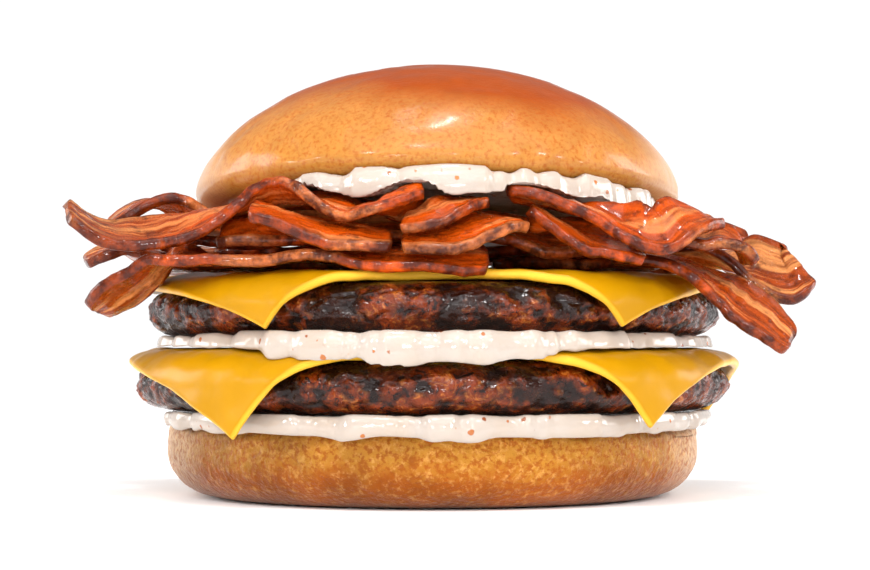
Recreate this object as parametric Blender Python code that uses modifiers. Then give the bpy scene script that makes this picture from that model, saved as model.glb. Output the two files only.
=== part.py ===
"""Double cheeseburger: heel bun, two patties with a draped cheese slice on each,
white sauce, a heap of crisp bacon strips and a tilted crown bun.

Lengths below are millimetres and angles are degrees. Azimuth is measured from
the front (-Y), positive towards +X.
"""

import math

import bmesh
import bpy
import numpy as np
from mathutils import Matrix, Vector, noise

MM = 0.001
GAP = 0.3

HEEL_RADIUS = 47.4
HEEL_HEIGHT = 13.3
HEEL_FOOT_ROUND = 9.0
HEEL_TOP_ROUND = 2.4

CROWN_RADIUS = 43.4
CROWN_HEIGHT = 26.2
CROWN_WIDEST = 3.3
CROWN_RIM_ROUND = 5.0
CROWN_SEAT = 49.8
CROWN_SHIFT = 0.9
CROWN_TILT = 5.5

LOWER_PATTY_RADIUS = 53.5
LOWER_PATTY_MIDDLE = 19.6
UPPER_PATTY_RADIUS = 51.5
UPPER_PATTY_MIDDLE = 32.2
PATTY_HALF_HEIGHT = 4.45
PATTY_EDGE = 7.2
PATTY_RELIEF = 0.5

CHEESE_THICKNESS = 1.7
BARE_FRONT = (-5.0, 9.0)
CHEESE_CELLS = 16

BACON_THICKNESS = 1.9
BACON_CELL = 3.5
BACON_CELLS_ACROSS = 3
BACON_RUFFLE = 0.6

FIELD_HALF = 80
FIELD_EMPTY = -100.0

# Azimuth and reach of the four corners of each slice, and the reach at the
# middle of its front, right, back and left side.
LOWER_CHEESE = (
    ((-34.6, 66.4), (38.7, 64.6), (112.0, 64.0), (215.0, 62.0)),
    (47.0, 53.2, 48.0, 53.0),
)
UPPER_CHEESE = (
    ((-29.8, 59.4), (34.6, 59.0), (140.0, 60.0), (218.0, 60.0)),
    (43.6, 50.0, 46.5, 50.4),
)

# Azimuth, outer radius and droop of the bead that shows at the rim of a sauce.
LOWER_SAUCE = (
    (-180, 48.4, 0.3),
    (-130, 48.9, 0.8),
    (-90, 47.6, 0.3),
    (-62, 49.6, 0.9),
    (-40, 51.2, 1.1),
    (-22, 51.9, 1.5),
    (-16, 52.2, 2.2),
    (-9, 51.9, 1.4),
    (0, 52.1, 1.7),
    (6, 52.5, 2.4),
    (12, 52.1, 1.6),
    (28, 51.9, 1.8),
    (45, 51.4, 1.3),
    (70, 50.4, 0.6),
    (90, 49.4, 0.3),
    (135, 48.8, 0.8),
)
MIDDLE_SAUCE = (
    (-180, 48.0, 0.0),
    (-120, 47.2, 0.1),
    (-90, 49.0, 0.8),
    (-74, 50.2, 1.7),
    (-60, 50.0, 1.2),
    (-44, 51.2, 1.6),
    (-33, 52.6, 1.2),
    (-28, 55.2, 2.2),
    (-18, 55.5, 2.0),
    (-8, 55.8, 2.9),
    (2, 55.6, 2.2),
    (10, 55.8, 2.8),
    (18, 55.3, 1.9),
    (25, 53.0, 1.2),
    (36, 52.2, 1.6),
    (48, 51.2, 1.2),
    (62, 51.0, 1.8),
    (76, 50.2, 1.4),
    (90, 49.4, 0.8),
    (135, 48.0, 0.1),
)
UPPER_SAUCE = (
    (-180, 37.8, 0.2),
    (-100, 37.2, 0.0),
    (-62, 39.0, 0.3),
    (-46, 42.2, 0.8),
    (-34, 44.4, 1.2),
    (-20, 44.8, 1.9),
    (0, 44.9, 2.2),
    (16, 44.8, 1.7),
    (30, 44.8, 3.0),
    (42, 44.7, 4.4),
    (54, 44.2, 5.6),
    (62, 42.4, 4.4),
    (72, 39.0, 1.0),
    (120, 37.8, 0.2),
)

# Each strip, lowest first: name, width, and stations along its run. A station
# holds the front edge (x, y, z) and how steeply the strip rises behind that
# edge and at its back edge.
STRIPS = (
    ("bacon_left_low", 18, (
        (-57.5, -38, 32.5, -8, -4),
        (-53.5, -39, 36.0, -14, -8),
        (-50.0, -40, 38.2, -12, -5),
        (-46.0, -41, 41.0, -6, -3),
        (-41.0, -42, 39.7, 0, 0),
        (-31.0, -43, 39.4, 2, 0),
        (-20.0, -46, 38.6, 18, 0),
        (-9.0, -48, 38.3, 34, 0),
        (1.0, -48.5, 38.2, 38, 0),
        (9.0, -48.5, 38.5, 38, 0),
    )),
    ("bacon_front_low", 12, (
        (-5.0, -50.5, 38.9, 14, 6),
        (0.0, -50.5, 39.7, 26, 10),
        (5.0, -50, 41.1, 38, 14),
        (10.0, -48.5, 43.2, 38, 14),
        (14.0, -46.5, 44.8, 28, 8),
        (16.5, -45, 45.2, 20, 6),
    )),
    ("bacon_right_hanging", 11, (
        (29.0, -37, 40.6, 0, 0),
        (36.0, -38, 40.0, 4, 2),
        (42.0, -40, 36.8, 14, 10),
        (46.5, -42, 32.8, 25, 20),
        (50.0, -43.5, 29.2, 32, 28),
        (53.5, -45, 26.4, 34, 30),
        (56.0, -46, 24.6, 34, 30),
    )),
    ("bacon_right_pale", 16, (
        (38.0, -27, 41.0, 2, 0),
        (46.0, -29, 38.6, 18, 10),
        (52.0, -30.5, 34.8, 42, 34),
        (58.0, -31.5, 33.0, 46, 36),
        (62.0, -31.5, 34.2, 46, 36),
        (65.0, -30, 36.4, 40, 30),
    )),
    ("bacon_back_left", 20, (
        (-59.0, 22, 38.5, 6, 2),
        (-53.0, 23, 41.6, 4, 0),
        (-46.0, 25, 40.8, 0, -8),
        (-36.0, 26, 40.6, 0, -14),
        (-26.0, 27, 40.6, 0, -12),
        (-14.0, 28, 40.6, 0, -16),
        (-4.0, 28, 40.6, 0, -12),
    )),
    ("bacon_back_right", 20, (
        (2.0, 28, 40.6, 0, -12),
        (12.0, 28, 40.6, 0, -16),
        (22.0, 27, 40.6, 0, -10),
        (33.0, 26, 40.6, 0, -12),
        (43.0, 24, 40.6, 0, -6),
        (51.0, 22, 42.2, 4, 0),
        (57.0, 20, 40.0, 6, 2),
        (62.0, 19, 37.0, 8, 4),
    )),
    ("bacon_middle_left", 21, (
        (-61.0, -10, 41.0, 6, 4),
        (-55.0, -9, 43.2, 4, 2),
        (-48.0, -8, 41.0, 0, 0),
        (-38.0, -8, 40.6, 0, 0),
        (-26.0, -8, 41.0, 0, 0),
        (-12.0, -8, 40.6, 0, 0),
        (0.0, -8, 40.6, 0, 0),
        (9.0, -8, 40.6, 0, 0),
    )),
    ("bacon_middle_right", 21, (
        (10.4, -10, 40.8, 0, 0),
        (16.0, -10, 40.6, 0, 0),
        (26.0, -9, 41.0, 0, 0),
        (38.0, -9, 40.8, 0, 0),
        (47.0, -9, 42.6, 2, 0),
        (54.0, -10, 40.8, 6, 4),
        (60.0, -11, 37.4, 10, 6),
    )),
    ("bacon_left_deep", 9, (
        (-42.0, -31, 41.0, 24, 8),
        (-34.0, -32, 40.4, 36, 20),
        (-24.0, -33, 40.6, 44, 30),
        (-13.0, -34, 41.4, 52, 40),
        (-3.0, -34, 41.8, 56, 44),
    )),
    ("bacon_right_deep", 12, (
        (0.0, -33, 41.4, 46, 34),
        (11.0, -33, 41.4, 46, 34),
        (20.0, -33, 40.8, 44, 30),
        (28.0, -32, 40.8, 40, 24),
        (36.0, -30, 40.4, 30, 16),
    )),
    ("bacon_back_upper", 18, (
        (-56.0, 27, 46.0, 4, 2),
        (-49.0, 26, 44.2, 0, 0),
        (-38.0, 25, 42.9, 0, -2),
        (-22.0, 23, 42.9, 0, -4),
        (-6.0, 22, 42.9, 0, -4),
        (10.0, 22, 42.9, 0, -4),
        (26.0, 22, 42.9, 0, -4),
        (40.0, 20, 43.0, 0, 0),
        (49.0, 18, 45.6, 2, 0),
        (56.0, 17, 46.6, 4, 2),
    )),
    ("bacon_middle_back", 15, (
        (-58.0, 9, 46.2, 4, 2),
        (-51.0, 7, 44.6, 0, 0),
        (-40.0, 5, 43.2, 0, 0),
        (-24.0, 3, 43.2, 0, 0),
        (-6.0, 2, 43.2, 0, 0),
        (14.0, 2, 43.2, 0, 0),
        (30.0, 3, 43.2, 0, 0),
        (42.0, 4, 44.6, 0, 0),
        (50.0, 4, 46.8, 2, 0),
        (57.0, 3, 44.6, 4, 2),
    )),
    ("bacon_left_mid", 9, (
        (-36.0, -38, 42.0, 24, 6),
        (-30.0, -39, 43.2, 24, 6),
        (-23.0, -39, 42.8, 24, 6),
        (-16.0, -39, 42.2, 24, 6),
    )),
    ("bacon_right_low", 12, (
        (15.0, -43, 43.2, 34, 12),
        (19.5, -43.5, 42.4, 38, 12),
        (24.0, -44, 41.2, 38, 12),
        (29.0, -44.5, 40.2, 36, 10),
        (34.5, -44, 40.0, 28, 6),
    )),
    ("bacon_right_curl", 12, (
        (33.0, -40, 41.4, 20, 6),
        (38.0, -41, 41.2, 18, 6),
        (42.0, -42, 41.4, 18, 4),
        (46.5, -42.5, 43.0, 12, 2),
        (50.5, -42.5, 42.4, 6, 0),
        (53.0, -42, 39.4, 4, 0),
    )),
    ("bacon_front_tip", 10, (
        (-29.5, -48.5, 46.4, 36, 12),
        (-25.0, -48.5, 45.0, 36, 12),
        (-20.0, -48.5, 43.4, 36, 10),
        (-15.0, -49, 41.6, 38, 10),
        (-10.5, -49.5, 40.2, 36, 10),
        (-6.5, -49.5, 39.8, 30, 10),
    )),
    ("bacon_front_diagonal", 8, (
        (-5.5, -49.5, 41.8, 34, 10),
        (-2.5, -50, 42.6, 36, 8),
        (1.0, -49.5, 44.0, 34, 6),
        (4.5, -47.5, 46.2, 32, 6),
        (7.5, -45, 48.0, 16, 4),
        (10.0, -43.5, 49.0, 6, 2),
    )),
    ("bacon_left_arch", 15, (
        (-54.0, -25, 46.8, 8, 4),
        (-49.0, -24, 50.0, 4, 2),
        (-44.0, -23, 50.8, 2, 0),
        (-39.5, -22, 48.6, 0, -2),
        (-34.0, -21.5, 46.2, 0, 0),
        (-24.0, -21, 45.4, 0, 0),
        (-12.0, -21, 45.6, 0, 0),
        (-2.0, -21, 45.6, 0, 0),
    )),
    ("bacon_right_top", 9, (
        (11.5, -42, 48.2, 16, 4),
        (16.5, -43, 46.8, 18, 4),
        (20.4, -43.5, 46.0, 18, 4),
        (25.2, -44.5, 46.2, 6, 0),
        (29.0, -45.5, 44.6, 8, 0),
        (32.5, -47, 42.0, 34, 8),
        (36.0, -47.5, 40.8, 42, 10),
        (39.5, -46.5, 42.2, 36, 8),
        (43.0, -44, 44.8, 22, 6),
        (48.5, -40, 45.6, 18, 4),
    )),
    ("bacon_left_top", 14, (
        (-58.5, -43, 46.4, 30, 16),
        (-54.2, -42, 42.8, 28, 16),
        (-49.4, -41, 41.6, 28, 18),
        (-43.1, -40.5, 41.2, 26, 20),
        (-36.7, -40, 41.8, 24, 16),
        (-30.3, -40, 44.4, 16, 4),
        (-24.6, -41, 47.6, 10, 0),
        (-20.0, -43.5, 47.6, 26, 0),
        (-14.2, -46, 45.4, 42, 2),
        (-9.0, -47.5, 43.8, 48, 4),
        (-4.6, -47.5, 43.4, 42, 2),
        (-1.0, -47.2, 45.2, 20, 2),
    )),
)

BROWN_CRUST = (0.42, 0.17, 0.045)
BAKED_GOLD = (0.62, 0.33, 0.10)
SEARED_BEEF = (0.055, 0.022, 0.014)
CHEESE_YELLOW = (0.86, 0.44, 0.035)
WHITE_SAUCE = (0.86, 0.80, 0.72)
CURED_MEAT = (0.30, 0.045, 0.025)


def clear_scene():
    for obj in list(bpy.data.objects):
        bpy.data.objects.remove(obj)


def make_collection(name):
    collection = bpy.data.collections.new(name)
    bpy.context.scene.collection.children.link(collection)
    return collection


def make_material(name, colour, roughness):
    material = bpy.data.materials.new(name)
    material.use_nodes = True
    shader = material.node_tree.nodes["Principled BSDF"]
    shader.inputs["Base Color"].default_value = (*colour, 1.0)
    shader.inputs["Roughness"].default_value = roughness
    shader.inputs["Metallic"].default_value = 0.0
    return material


def add_object(collection, name, bm, material):
    """Puts a mesh drawn in millimetres into the scene, smooth and in metres."""
    bmesh.ops.transform(bm, matrix=Matrix.Scale(MM, 4), verts=bm.verts)
    for face in bm.faces:
        face.smooth = True
    mesh = bpy.data.meshes.new(name)
    bm.to_mesh(mesh)
    bm.free()
    mesh.materials.append(material)
    obj = bpy.data.objects.new(name, mesh)
    collection.objects.link(obj)
    return obj


def azimuth_of(x, y):
    return math.degrees(math.atan2(x, -y))


def by_azimuth(rows, azimuth, column):
    """A column of an azimuth table, blended smoothly round the full turn."""
    turned = azimuth
    if turned < rows[0][0]:
        turned += 360.0
    angles = [row[0] for row in rows] + [rows[0][0] + 360.0]
    values = [row[column] for row in rows] + [rows[0][column]]
    step = max(i for i, angle in enumerate(angles[:-1]) if angle <= turned)
    share = (turned - angles[step]) / (angles[step + 1] - angles[step])
    eased = share * share * (3.0 - 2.0 * share)
    return values[step] + (values[step + 1] - values[step]) * eased


def arc(centre, radii, start, end, count):
    """Points of an elliptic arc in the (radius, height) plane, ends included."""
    points = []
    for i in range(count + 1):
        angle = math.radians(start + (end - start) * i / count)
        radius = centre[0] + radii[0] * math.cos(angle)
        height = centre[1] + radii[1] * math.sin(angle)
        points.append((radius, height))
    return points


def line(start, end, count):
    """Points from start to end, the end left out."""
    first = np.array(start, float)
    last = np.array(end, float)
    return [tuple(first + (last - first) * i / count) for i in range(count)]


def turned(profile, segments, place):
    """A solid of revolution from the profile's top centre to its bottom centre."""
    bm = bmesh.new()
    rings = len(profile) - 1
    bmesh.ops.create_uvsphere(bm, u_segments=segments, v_segments=rings, radius=1.0)
    for vert in bm.verts:
        ring = round(math.acos(max(-1.0, min(1.0, vert.co.z))) / math.pi * rings)
        radius, height = profile[ring]
        azimuth = azimuth_of(vert.co.x, vert.co.y)
        vert.co = place(radius, height, azimuth, ring)
    bmesh.ops.recalc_face_normals(bm, faces=bm.faces)
    return bm


def polar(radius, azimuth, height):
    angle = math.radians(azimuth)
    return Vector((radius * math.sin(angle), -radius * math.cos(angle), height))


def heel_place(radius, height, azimuth, ring):
    """The heel with its soft out-of-round sides and shallow dents in its top edge."""
    point = polar(radius, azimuth, height)
    share = min(1.0, height / HEEL_HEIGHT) * min(1.0, radius / HEEL_RADIUS)
    swell = 0.7 * noise.noise(Vector((point.x, point.y, 0.0)) / 26.0)
    dent = 0.8 * max(0.0, noise.noise(Vector((point.x, point.y, 40.0)) / 11.0))
    out = 1.0 + swell * share / HEEL_RADIUS
    top = dent if height > HEEL_HEIGHT - HEEL_TOP_ROUND and radius > 40.0 else 0.0
    return Vector((point.x * out, point.y * out, height - top * share))


def make_heel():
    inner = HEEL_RADIUS - HEEL_TOP_ROUND
    foot = HEEL_RADIUS - HEEL_FOOT_ROUND
    shoulder = HEEL_HEIGHT - HEEL_TOP_ROUND
    foot_height = HEEL_FOOT_ROUND - 1.0
    profile = line((0, HEEL_HEIGHT), (inner, HEEL_HEIGHT), 3)
    profile += arc((inner, shoulder), (HEEL_TOP_ROUND, HEEL_TOP_ROUND), 90, 0, 3)
    profile += arc((foot, foot_height), (HEEL_FOOT_ROUND, foot_height), 0, -90, 5)
    profile.append((0, 0))
    return turned(profile, 44, heel_place)


def crown_matrix():
    lift = Matrix.Translation((CROWN_SHIFT, 0.0, CROWN_SEAT))
    return lift @ Matrix.Rotation(math.radians(-CROWN_TILT), 4, "X")


def crown_place(radius, height, azimuth, ring):
    """The crown's dome, a little uneven."""
    point = polar(radius, azimuth, height)
    swell = 0.5 * noise.noise(point / 24.0)
    share = min(1.0, height / CROWN_WIDEST) * min(1.0, radius / 12.0)
    return point * (1.0 + swell * share / CROWN_RADIUS)


def make_crown():
    rise = CROWN_HEIGHT - CROWN_WIDEST
    inner = CROWN_RADIUS - CROWN_RIM_ROUND
    profile = []
    for i in range(10):
        angle = math.radians(9.0 * i)
        height = CROWN_WIDEST + rise * math.cos(angle) ** 1.24
        profile.append((CROWN_RADIUS * math.sin(angle), height))
    rim = arc((inner, CROWN_WIDEST), (CROWN_RIM_ROUND, CROWN_WIDEST), 0, -90, 4)
    profile += rim
    profile += [(inner * 0.55, 0.0), (0.0, 0.0)]
    bm = turned(profile, 44, crown_place)
    bmesh.ops.transform(bm, matrix=crown_matrix(), verts=bm.verts)
    return bm


def make_patty(radius, middle, seed):
    """A seared patty: a flat disc with a craggy rounded edge."""
    inner = radius - PATTY_EDGE
    top = middle + PATTY_HALF_HEIGHT
    bottom = middle - PATTY_HALF_HEIGHT
    profile = line((0, top), (inner, top), 2)
    profile += arc((inner, middle), (PATTY_EDGE, PATTY_HALF_HEIGHT), 90, -90, 8)
    profile += [(inner * 0.5, bottom), (0, bottom)]

    def place(ring_radius, height, azimuth, ring):
        point = polar(ring_radius, azimuth, height)
        share = max(0.0, ring_radius - inner) / PATTY_EDGE
        away = Vector((point.x, point.y, (height - middle) * 3.0)).normalized()
        lump = noise.noise(point / 7.0 + Vector((seed, 0.0, 0.0)))
        broad = noise.noise(point / 21.0 + Vector((0.0, seed, 0.0)))
        return point + away * share * PATTY_RELIEF * (lump + 1.4 * broad - 0.2)

    return turned(profile, 52, place)


def sauce_profile(top, bottom, rise, sink, inner):
    """Ring marks of a sauce layer: place against the bead's rim, then height."""
    return (
        (0.0, top),
        (inner, top),
        (-4.6, top + 0.2 * rise),
        (-1.9, top + rise),
        (-0.5, top + 0.5 * rise),
        (0.0, 0.5 * (top + bottom)),
        (-0.6, bottom - 0.6 * sink),
        (-2.2, bottom - sink),
        (-5.2, bottom),
        (inner, bottom),
        (0.0, bottom),
    )


def make_sauce(rows, marks, seed, floor, ceiling):
    """A sauce layer whose rim swells into a lobed bead, held between two layers."""
    profile = [(0.0, height) for _, height in marks]
    drooping = (0.0, 0.0, 0.0, 0.0, 0.1, 0.5, 1.0, 0.8, 0.2, 0.0, 0.0)

    def place(radius, height, azimuth, ring):
        outer = by_azimuth(rows, azimuth, 1)
        droop = by_azimuth(rows, azimuth, 2)
        lobe = noise.noise(polar(3.2, azimuth, seed))
        across = marks[ring][0]
        if ring not in (0, 1, 9, 10):
            across += outer + 0.5 * lobe
        level = height - drooping[ring] * droop
        if ring > 4:
            level = max(level, floor(across, azimuth) + GAP)
        if ring < 6:
            level = min(level, ceiling(across, azimuth) - GAP)
        return polar(across, azimuth, level)

    return turned(profile, 60, place)


def edge_height(radius, flat, across, down):
    """Height of a rounded edge over its own middle."""
    share = max(0.0, radius - flat) / across
    return down * math.sqrt(max(0.0, 1.0 - share * share))


def heel_top(radius, azimuth):
    inner = HEEL_RADIUS - HEEL_TOP_ROUND
    shoulder = HEEL_HEIGHT - HEEL_TOP_ROUND
    return shoulder + edge_height(radius, inner, HEEL_TOP_ROUND + 0.6, HEEL_TOP_ROUND)


def lower_patty_floor(radius, azimuth):
    flat = LOWER_PATTY_RADIUS - PATTY_EDGE
    rise = edge_height(radius, flat, PATTY_EDGE, PATTY_HALF_HEIGHT)
    return LOWER_PATTY_MIDDLE - rise - 0.15


def upper_patty_floor(radius, azimuth):
    flat = UPPER_PATTY_RADIUS - PATTY_EDGE
    rise = edge_height(radius, flat, PATTY_EDGE, PATTY_HALF_HEIGHT)
    return UPPER_PATTY_MIDDLE - rise - 0.15


def lower_cheese_top(radius, azimuth):
    """Top of the lower slice, or of the patty where the slice stops short."""
    flat = LOWER_PATTY_RADIUS - PATTY_EDGE
    across, down = cheese_stand()
    if BARE_FRONT[0] < azimuth < BARE_FRONT[1] and radius > 49.5:
        rise = edge_height(radius, flat, PATTY_EDGE, PATTY_HALF_HEIGHT)
        return LOWER_PATTY_MIDDLE + rise + 0.3
    half = CHEESE_THICKNESS / 2.0
    rise = edge_height(radius, flat, across + half, down + half)
    return LOWER_PATTY_MIDDLE + rise + 0.4


def crown_floor(radius, azimuth):
    """Underside of the crown's rounded rim in the crown's own frame."""
    flat = CROWN_RADIUS - CROWN_RIM_ROUND
    if radius > CROWN_RADIUS + GAP:
        return CROWN_WIDEST
    return CROWN_WIDEST - edge_height(radius, flat, CROWN_RIM_ROUND, CROWN_WIDEST) - 0.1


def nothing_below(radius, azimuth):
    return -1000.0


def cheese_reach(corners, sides, psi):
    """Azimuth and reach of the slice's edge in a direction of its own square."""
    quarter = math.floor((psi + 45.0) / 90.0)
    local = psi - 90.0 * quarter
    before = corners[quarter % 4]
    after = corners[(quarter + 1) % 4]
    start = before[0]
    end = after[0]
    while end < start:
        end += 360.0
    share = (local + 45.0) / 90.0
    azimuth = start + (end - start) * share
    side = sides[quarter % 4]
    corner = before[1] if local < 0.0 else after[1]
    bend = (1.0 / math.cos(math.radians(local)) - 1.0) / (math.sqrt(2.0) - 1.0)
    return azimuth, side + (corner - side) * bend


def cheese_stand():
    """Half width and half height of the curve that a slice follows over an edge."""
    stand = GAP + CHEESE_THICKNESS / 2.0
    return PATTY_EDGE + stand + 1.5 * PATTY_RELIEF, PATTY_HALF_HEIGHT + stand


def cheese_point(distance, azimuth, radius, middle, seed):
    """Where a point of the slice lies once it has sagged over the patty's edge."""
    across, down = cheese_stand()
    flat = radius - PATTY_EDGE
    quarter = math.pi / 2.0 * math.sqrt((across ** 2 + down ** 2) / 2.0)
    past = distance - flat
    ripple = 0.3 * abs(noise.noise(polar(distance / 9.0, azimuth, seed)))
    if past <= 0.0:
        return polar(distance, azimuth, middle + down)
    share = min(past / quarter, 1.0)
    angle = share * math.pi / 2.0
    hang = max(0.0, past - quarter)
    bulge = 0.35 * math.sin(2.0 * angle)
    reach = flat + across * math.sin(angle) + hang * 0.08 + ripple * share + bulge
    return polar(reach, azimuth, middle + down * math.cos(angle) - hang + bulge)


def make_cheese(slice_shape, radius, middle, seed):
    """One slice as a sheet, before it is thickened."""
    corners, sides = slice_shape
    bm = bmesh.new()
    cells = CHEESE_CELLS
    bmesh.ops.create_grid(bm, x_segments=cells, y_segments=cells, size=1.0)
    for vert in bm.verts:
        u, v = vert.co.x, vert.co.y
        ring = max(abs(u), abs(v))
        psi = azimuth_of(u, v) if ring > 1e-6 else 0.0
        azimuth, reach = cheese_reach(corners, sides, psi)
        distance = reach * (1.0 - (1.0 - ring) ** 1.5)
        vert.co = cheese_point(distance, azimuth, radius, middle, seed)
    bmesh.ops.triangulate(bm, faces=bm.faces[:])
    return bm


def smooth_run(stations, count):
    """Catmull-Rom curve through the stations, at even steps of its length."""
    rows = np.array(stations, float)
    ends = np.vstack([2 * rows[0] - rows[1], rows, 2 * rows[-1] - rows[-2]])
    fine = []
    for i in range(len(rows) - 1):
        a, b, c, d = ends[i:i + 4]
        for t in np.linspace(0.0, 1.0, 12, endpoint=False):
            linear = (c - a) * t
            square = (2 * a - 5 * b + 4 * c - d) * t ** 2
            cube = (3 * b - a - 3 * c + d) * t ** 3
            fine.append(0.5 * (2 * b + linear + square + cube))
    fine.append(rows[-1])
    fine = np.array(fine)
    steps = np.linalg.norm(np.diff(fine[:, :3], axis=0), axis=1)
    length = np.concatenate([[0.0], np.cumsum(steps)])
    wanted = np.linspace(0.0, length[-1], count + 1)
    columns = [np.interp(wanted, length, fine[:, k]) for k in range(5)]
    return np.stack(columns, axis=1), length[-1]


def run_length(stations):
    return smooth_run(stations, 4)[1]


def strip_sheet(stations, width, cells, across, phase):
    """Middle surface of a strip as an array of points, run by width."""
    run, length = smooth_run(stations, cells)
    heading = np.gradient(run[:, :2], axis=0)
    heading /= np.linalg.norm(heading, axis=1)[:, None]
    back = np.stack([-heading[:, 1], heading[:, 0]], axis=1)
    sheet = np.zeros((cells + 1, across + 1, 3))
    for i in range(cells + 1):
        along = length * i / cells
        near_end = min(along, length - along) / 5.0
        blunt = 1.0 - 0.22 * max(0.0, 1.0 - near_end) ** 2
        uneven = 1.0 + 0.06 * math.sin(along / 5.3 + phase)
        span = width * blunt * uneven
        start = width * (1.0 - blunt) / 2.0
        sheet[i] = strip_section(run[i], back[i], start, span, across, along, phase)
    return sheet


def strip_section(row, back, start, span, across, along, phase):
    """Points from the front edge to the back edge of a strip at one station."""
    x, y, z, front_rise, back_rise = row
    points = []
    out, up = start, 0.0
    steps = 12
    for k in range(steps * across + 1):
        share = k / (steps * across)
        if k % steps == 0:
            edge = abs(2.0 * share - 1.0) ** 2
            wave = math.sin(along / 2.9 + phase + 2.2 * share)
            ruffle = BACON_RUFFLE * edge * wave
            points.append((x + back[0] * out, y + back[1] * out, z + up + ruffle))
        rise = back_rise + (front_rise - back_rise) * (1.0 - share) ** 2.2
        out += math.cos(math.radians(rise)) * span / (steps * across)
        up += math.sin(math.radians(rise)) * span / (steps * across)
    return np.array(points)


def new_field():
    size = 2 * FIELD_HALF + 1
    return np.full((size, size), FIELD_EMPTY)


def cell_of(value):
    return int(round(value)) + FIELD_HALF


def raise_field(field, sheet, half):
    """Marks how high the top of a sheet stands over each millimetre cell."""
    fine = sheet
    for axis in (0, 1):
        for _ in range(3):
            middle = (np.take(fine, range(1, fine.shape[axis]), axis)
                      + np.take(fine, range(0, fine.shape[axis] - 1), axis)) / 2.0
            places = np.arange(1, fine.shape[axis])
            fine = np.insert(fine, places, middle, axis=axis)
    for x, y, z in fine.reshape(-1, 3):
        i = cell_of(x)
        j = cell_of(y)
        field[i, j] = max(field[i, j], z + half)


def height_near(field, x, y):
    i = cell_of(x)
    j = cell_of(y)
    return field[i - 1:i + 2, j - 1:j + 2].max()


def spread(values, pick):
    """Runs a filter three rows wide along a strip's length."""
    padded = np.pad(values, ((1, 1), (0, 0)), mode="edge")
    rows = len(values)
    return pick(np.array([padded[i:i + rows] for i in range(3)]), axis=0)


def rest_on(field, sheet, half):
    """Lifts a strip wherever it would sink into what lies under it, smoothly along
    its run, so a strip with others behind its front edge leans back over them."""
    lift = np.zeros(sheet.shape[:2])
    for i in range(sheet.shape[0]):
        for j in range(sheet.shape[1]):
            x, y, z = sheet[i, j]
            floor = height_near(field, x, y) + GAP + half
            lift[i, j] = max(0.0, floor - z)
    smooth = spread(spread(lift, np.max), np.mean)
    rested = sheet.copy()
    rested[:, :, 2] += np.maximum(smooth, lift)
    return rested


def strip_mesh(sheet):
    """A grid moved onto the strip's middle surface and split into triangles."""
    rows, columns, _ = sheet.shape
    bm = bmesh.new()
    bmesh.ops.create_grid(bm, x_segments=rows - 1, y_segments=columns - 1, size=1.0)
    for vert in bm.verts:
        i = round((vert.co.x + 1.0) / 2.0 * (rows - 1))
        j = round((vert.co.y + 1.0) / 2.0 * (columns - 1))
        vert.co = Vector(sheet[i, j])
    bmesh.ops.triangulate(bm, faces=bm.faces[:])
    return bm


def thicken(obj, thickness):
    modifier = obj.modifiers.new("Thickness", "SOLIDIFY")
    modifier.thickness = thickness * MM
    modifier.offset = 0.0
    modifier.use_rim = True


def upper_cheese_field():
    """Height of the upper slice, which the lowest strips lie on."""
    field = new_field()
    corners, sides = UPPER_CHEESE
    for psi in range(0, 360, 2):
        azimuth, reach = cheese_reach(corners, sides, psi - 45.0)
        for distance in np.arange(0.0, reach, 0.7):
            point = cheese_point(distance, azimuth, UPPER_PATTY_RADIUS,
                                 UPPER_PATTY_MIDDLE, 3.0)
            raise_field(field, np.array([[tuple(point)]]), CHEESE_THICKNESS / 2.0 + 0.7)
    return field


def add_bacon(collection, material):
    """Lays every strip on those before it, and returns how high the heap stands."""
    field = upper_cheese_field()
    half = BACON_THICKNESS / 2.0
    for number, (name, width, stations) in enumerate(STRIPS):
        cells = max(6, round(run_length(stations) / BACON_CELL))
        sheet = strip_sheet(stations, width, cells, BACON_CELLS_ACROSS, number * 1.7)
        sheet = rest_on(field, sheet, half)
        raise_field(field, sheet, half + 0.25)
        obj = add_object(collection, name, strip_mesh(sheet), material)
        thicken(obj, BACON_THICKNESS)
    return field


def add_buns(collection):
    crust = make_material("crown_crust", BROWN_CRUST, 0.35)
    baked = make_material("heel_crust", BAKED_GOLD, 0.6)
    add_object(collection, "bun_heel", make_heel(), baked)
    add_object(collection, "bun_crown", make_crown(), crust)


def add_fillings(collection):
    beef_low = make_material("beef_lower", SEARED_BEEF, 0.45)
    beef_high = make_material("beef_upper", SEARED_BEEF, 0.45)
    slice_low = make_material("cheese_lower", CHEESE_YELLOW, 0.4)
    slice_high = make_material("cheese_upper", CHEESE_YELLOW, 0.4)
    patty = make_patty(LOWER_PATTY_RADIUS, LOWER_PATTY_MIDDLE, 5.0)
    add_object(collection, "patty_lower", patty, beef_low)
    patty = make_patty(UPPER_PATTY_RADIUS, UPPER_PATTY_MIDDLE, 11.0)
    add_object(collection, "patty_upper", patty, beef_high)
    sheet = make_cheese(LOWER_CHEESE, LOWER_PATTY_RADIUS, LOWER_PATTY_MIDDLE, 7.0)
    thicken(add_object(collection, "cheese_lower", sheet, slice_low), CHEESE_THICKNESS)
    sheet = make_cheese(UPPER_CHEESE, UPPER_PATTY_RADIUS, UPPER_PATTY_MIDDLE, 3.0)
    thicken(add_object(collection, "cheese_upper", sheet, slice_high), CHEESE_THICKNESS)


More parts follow.
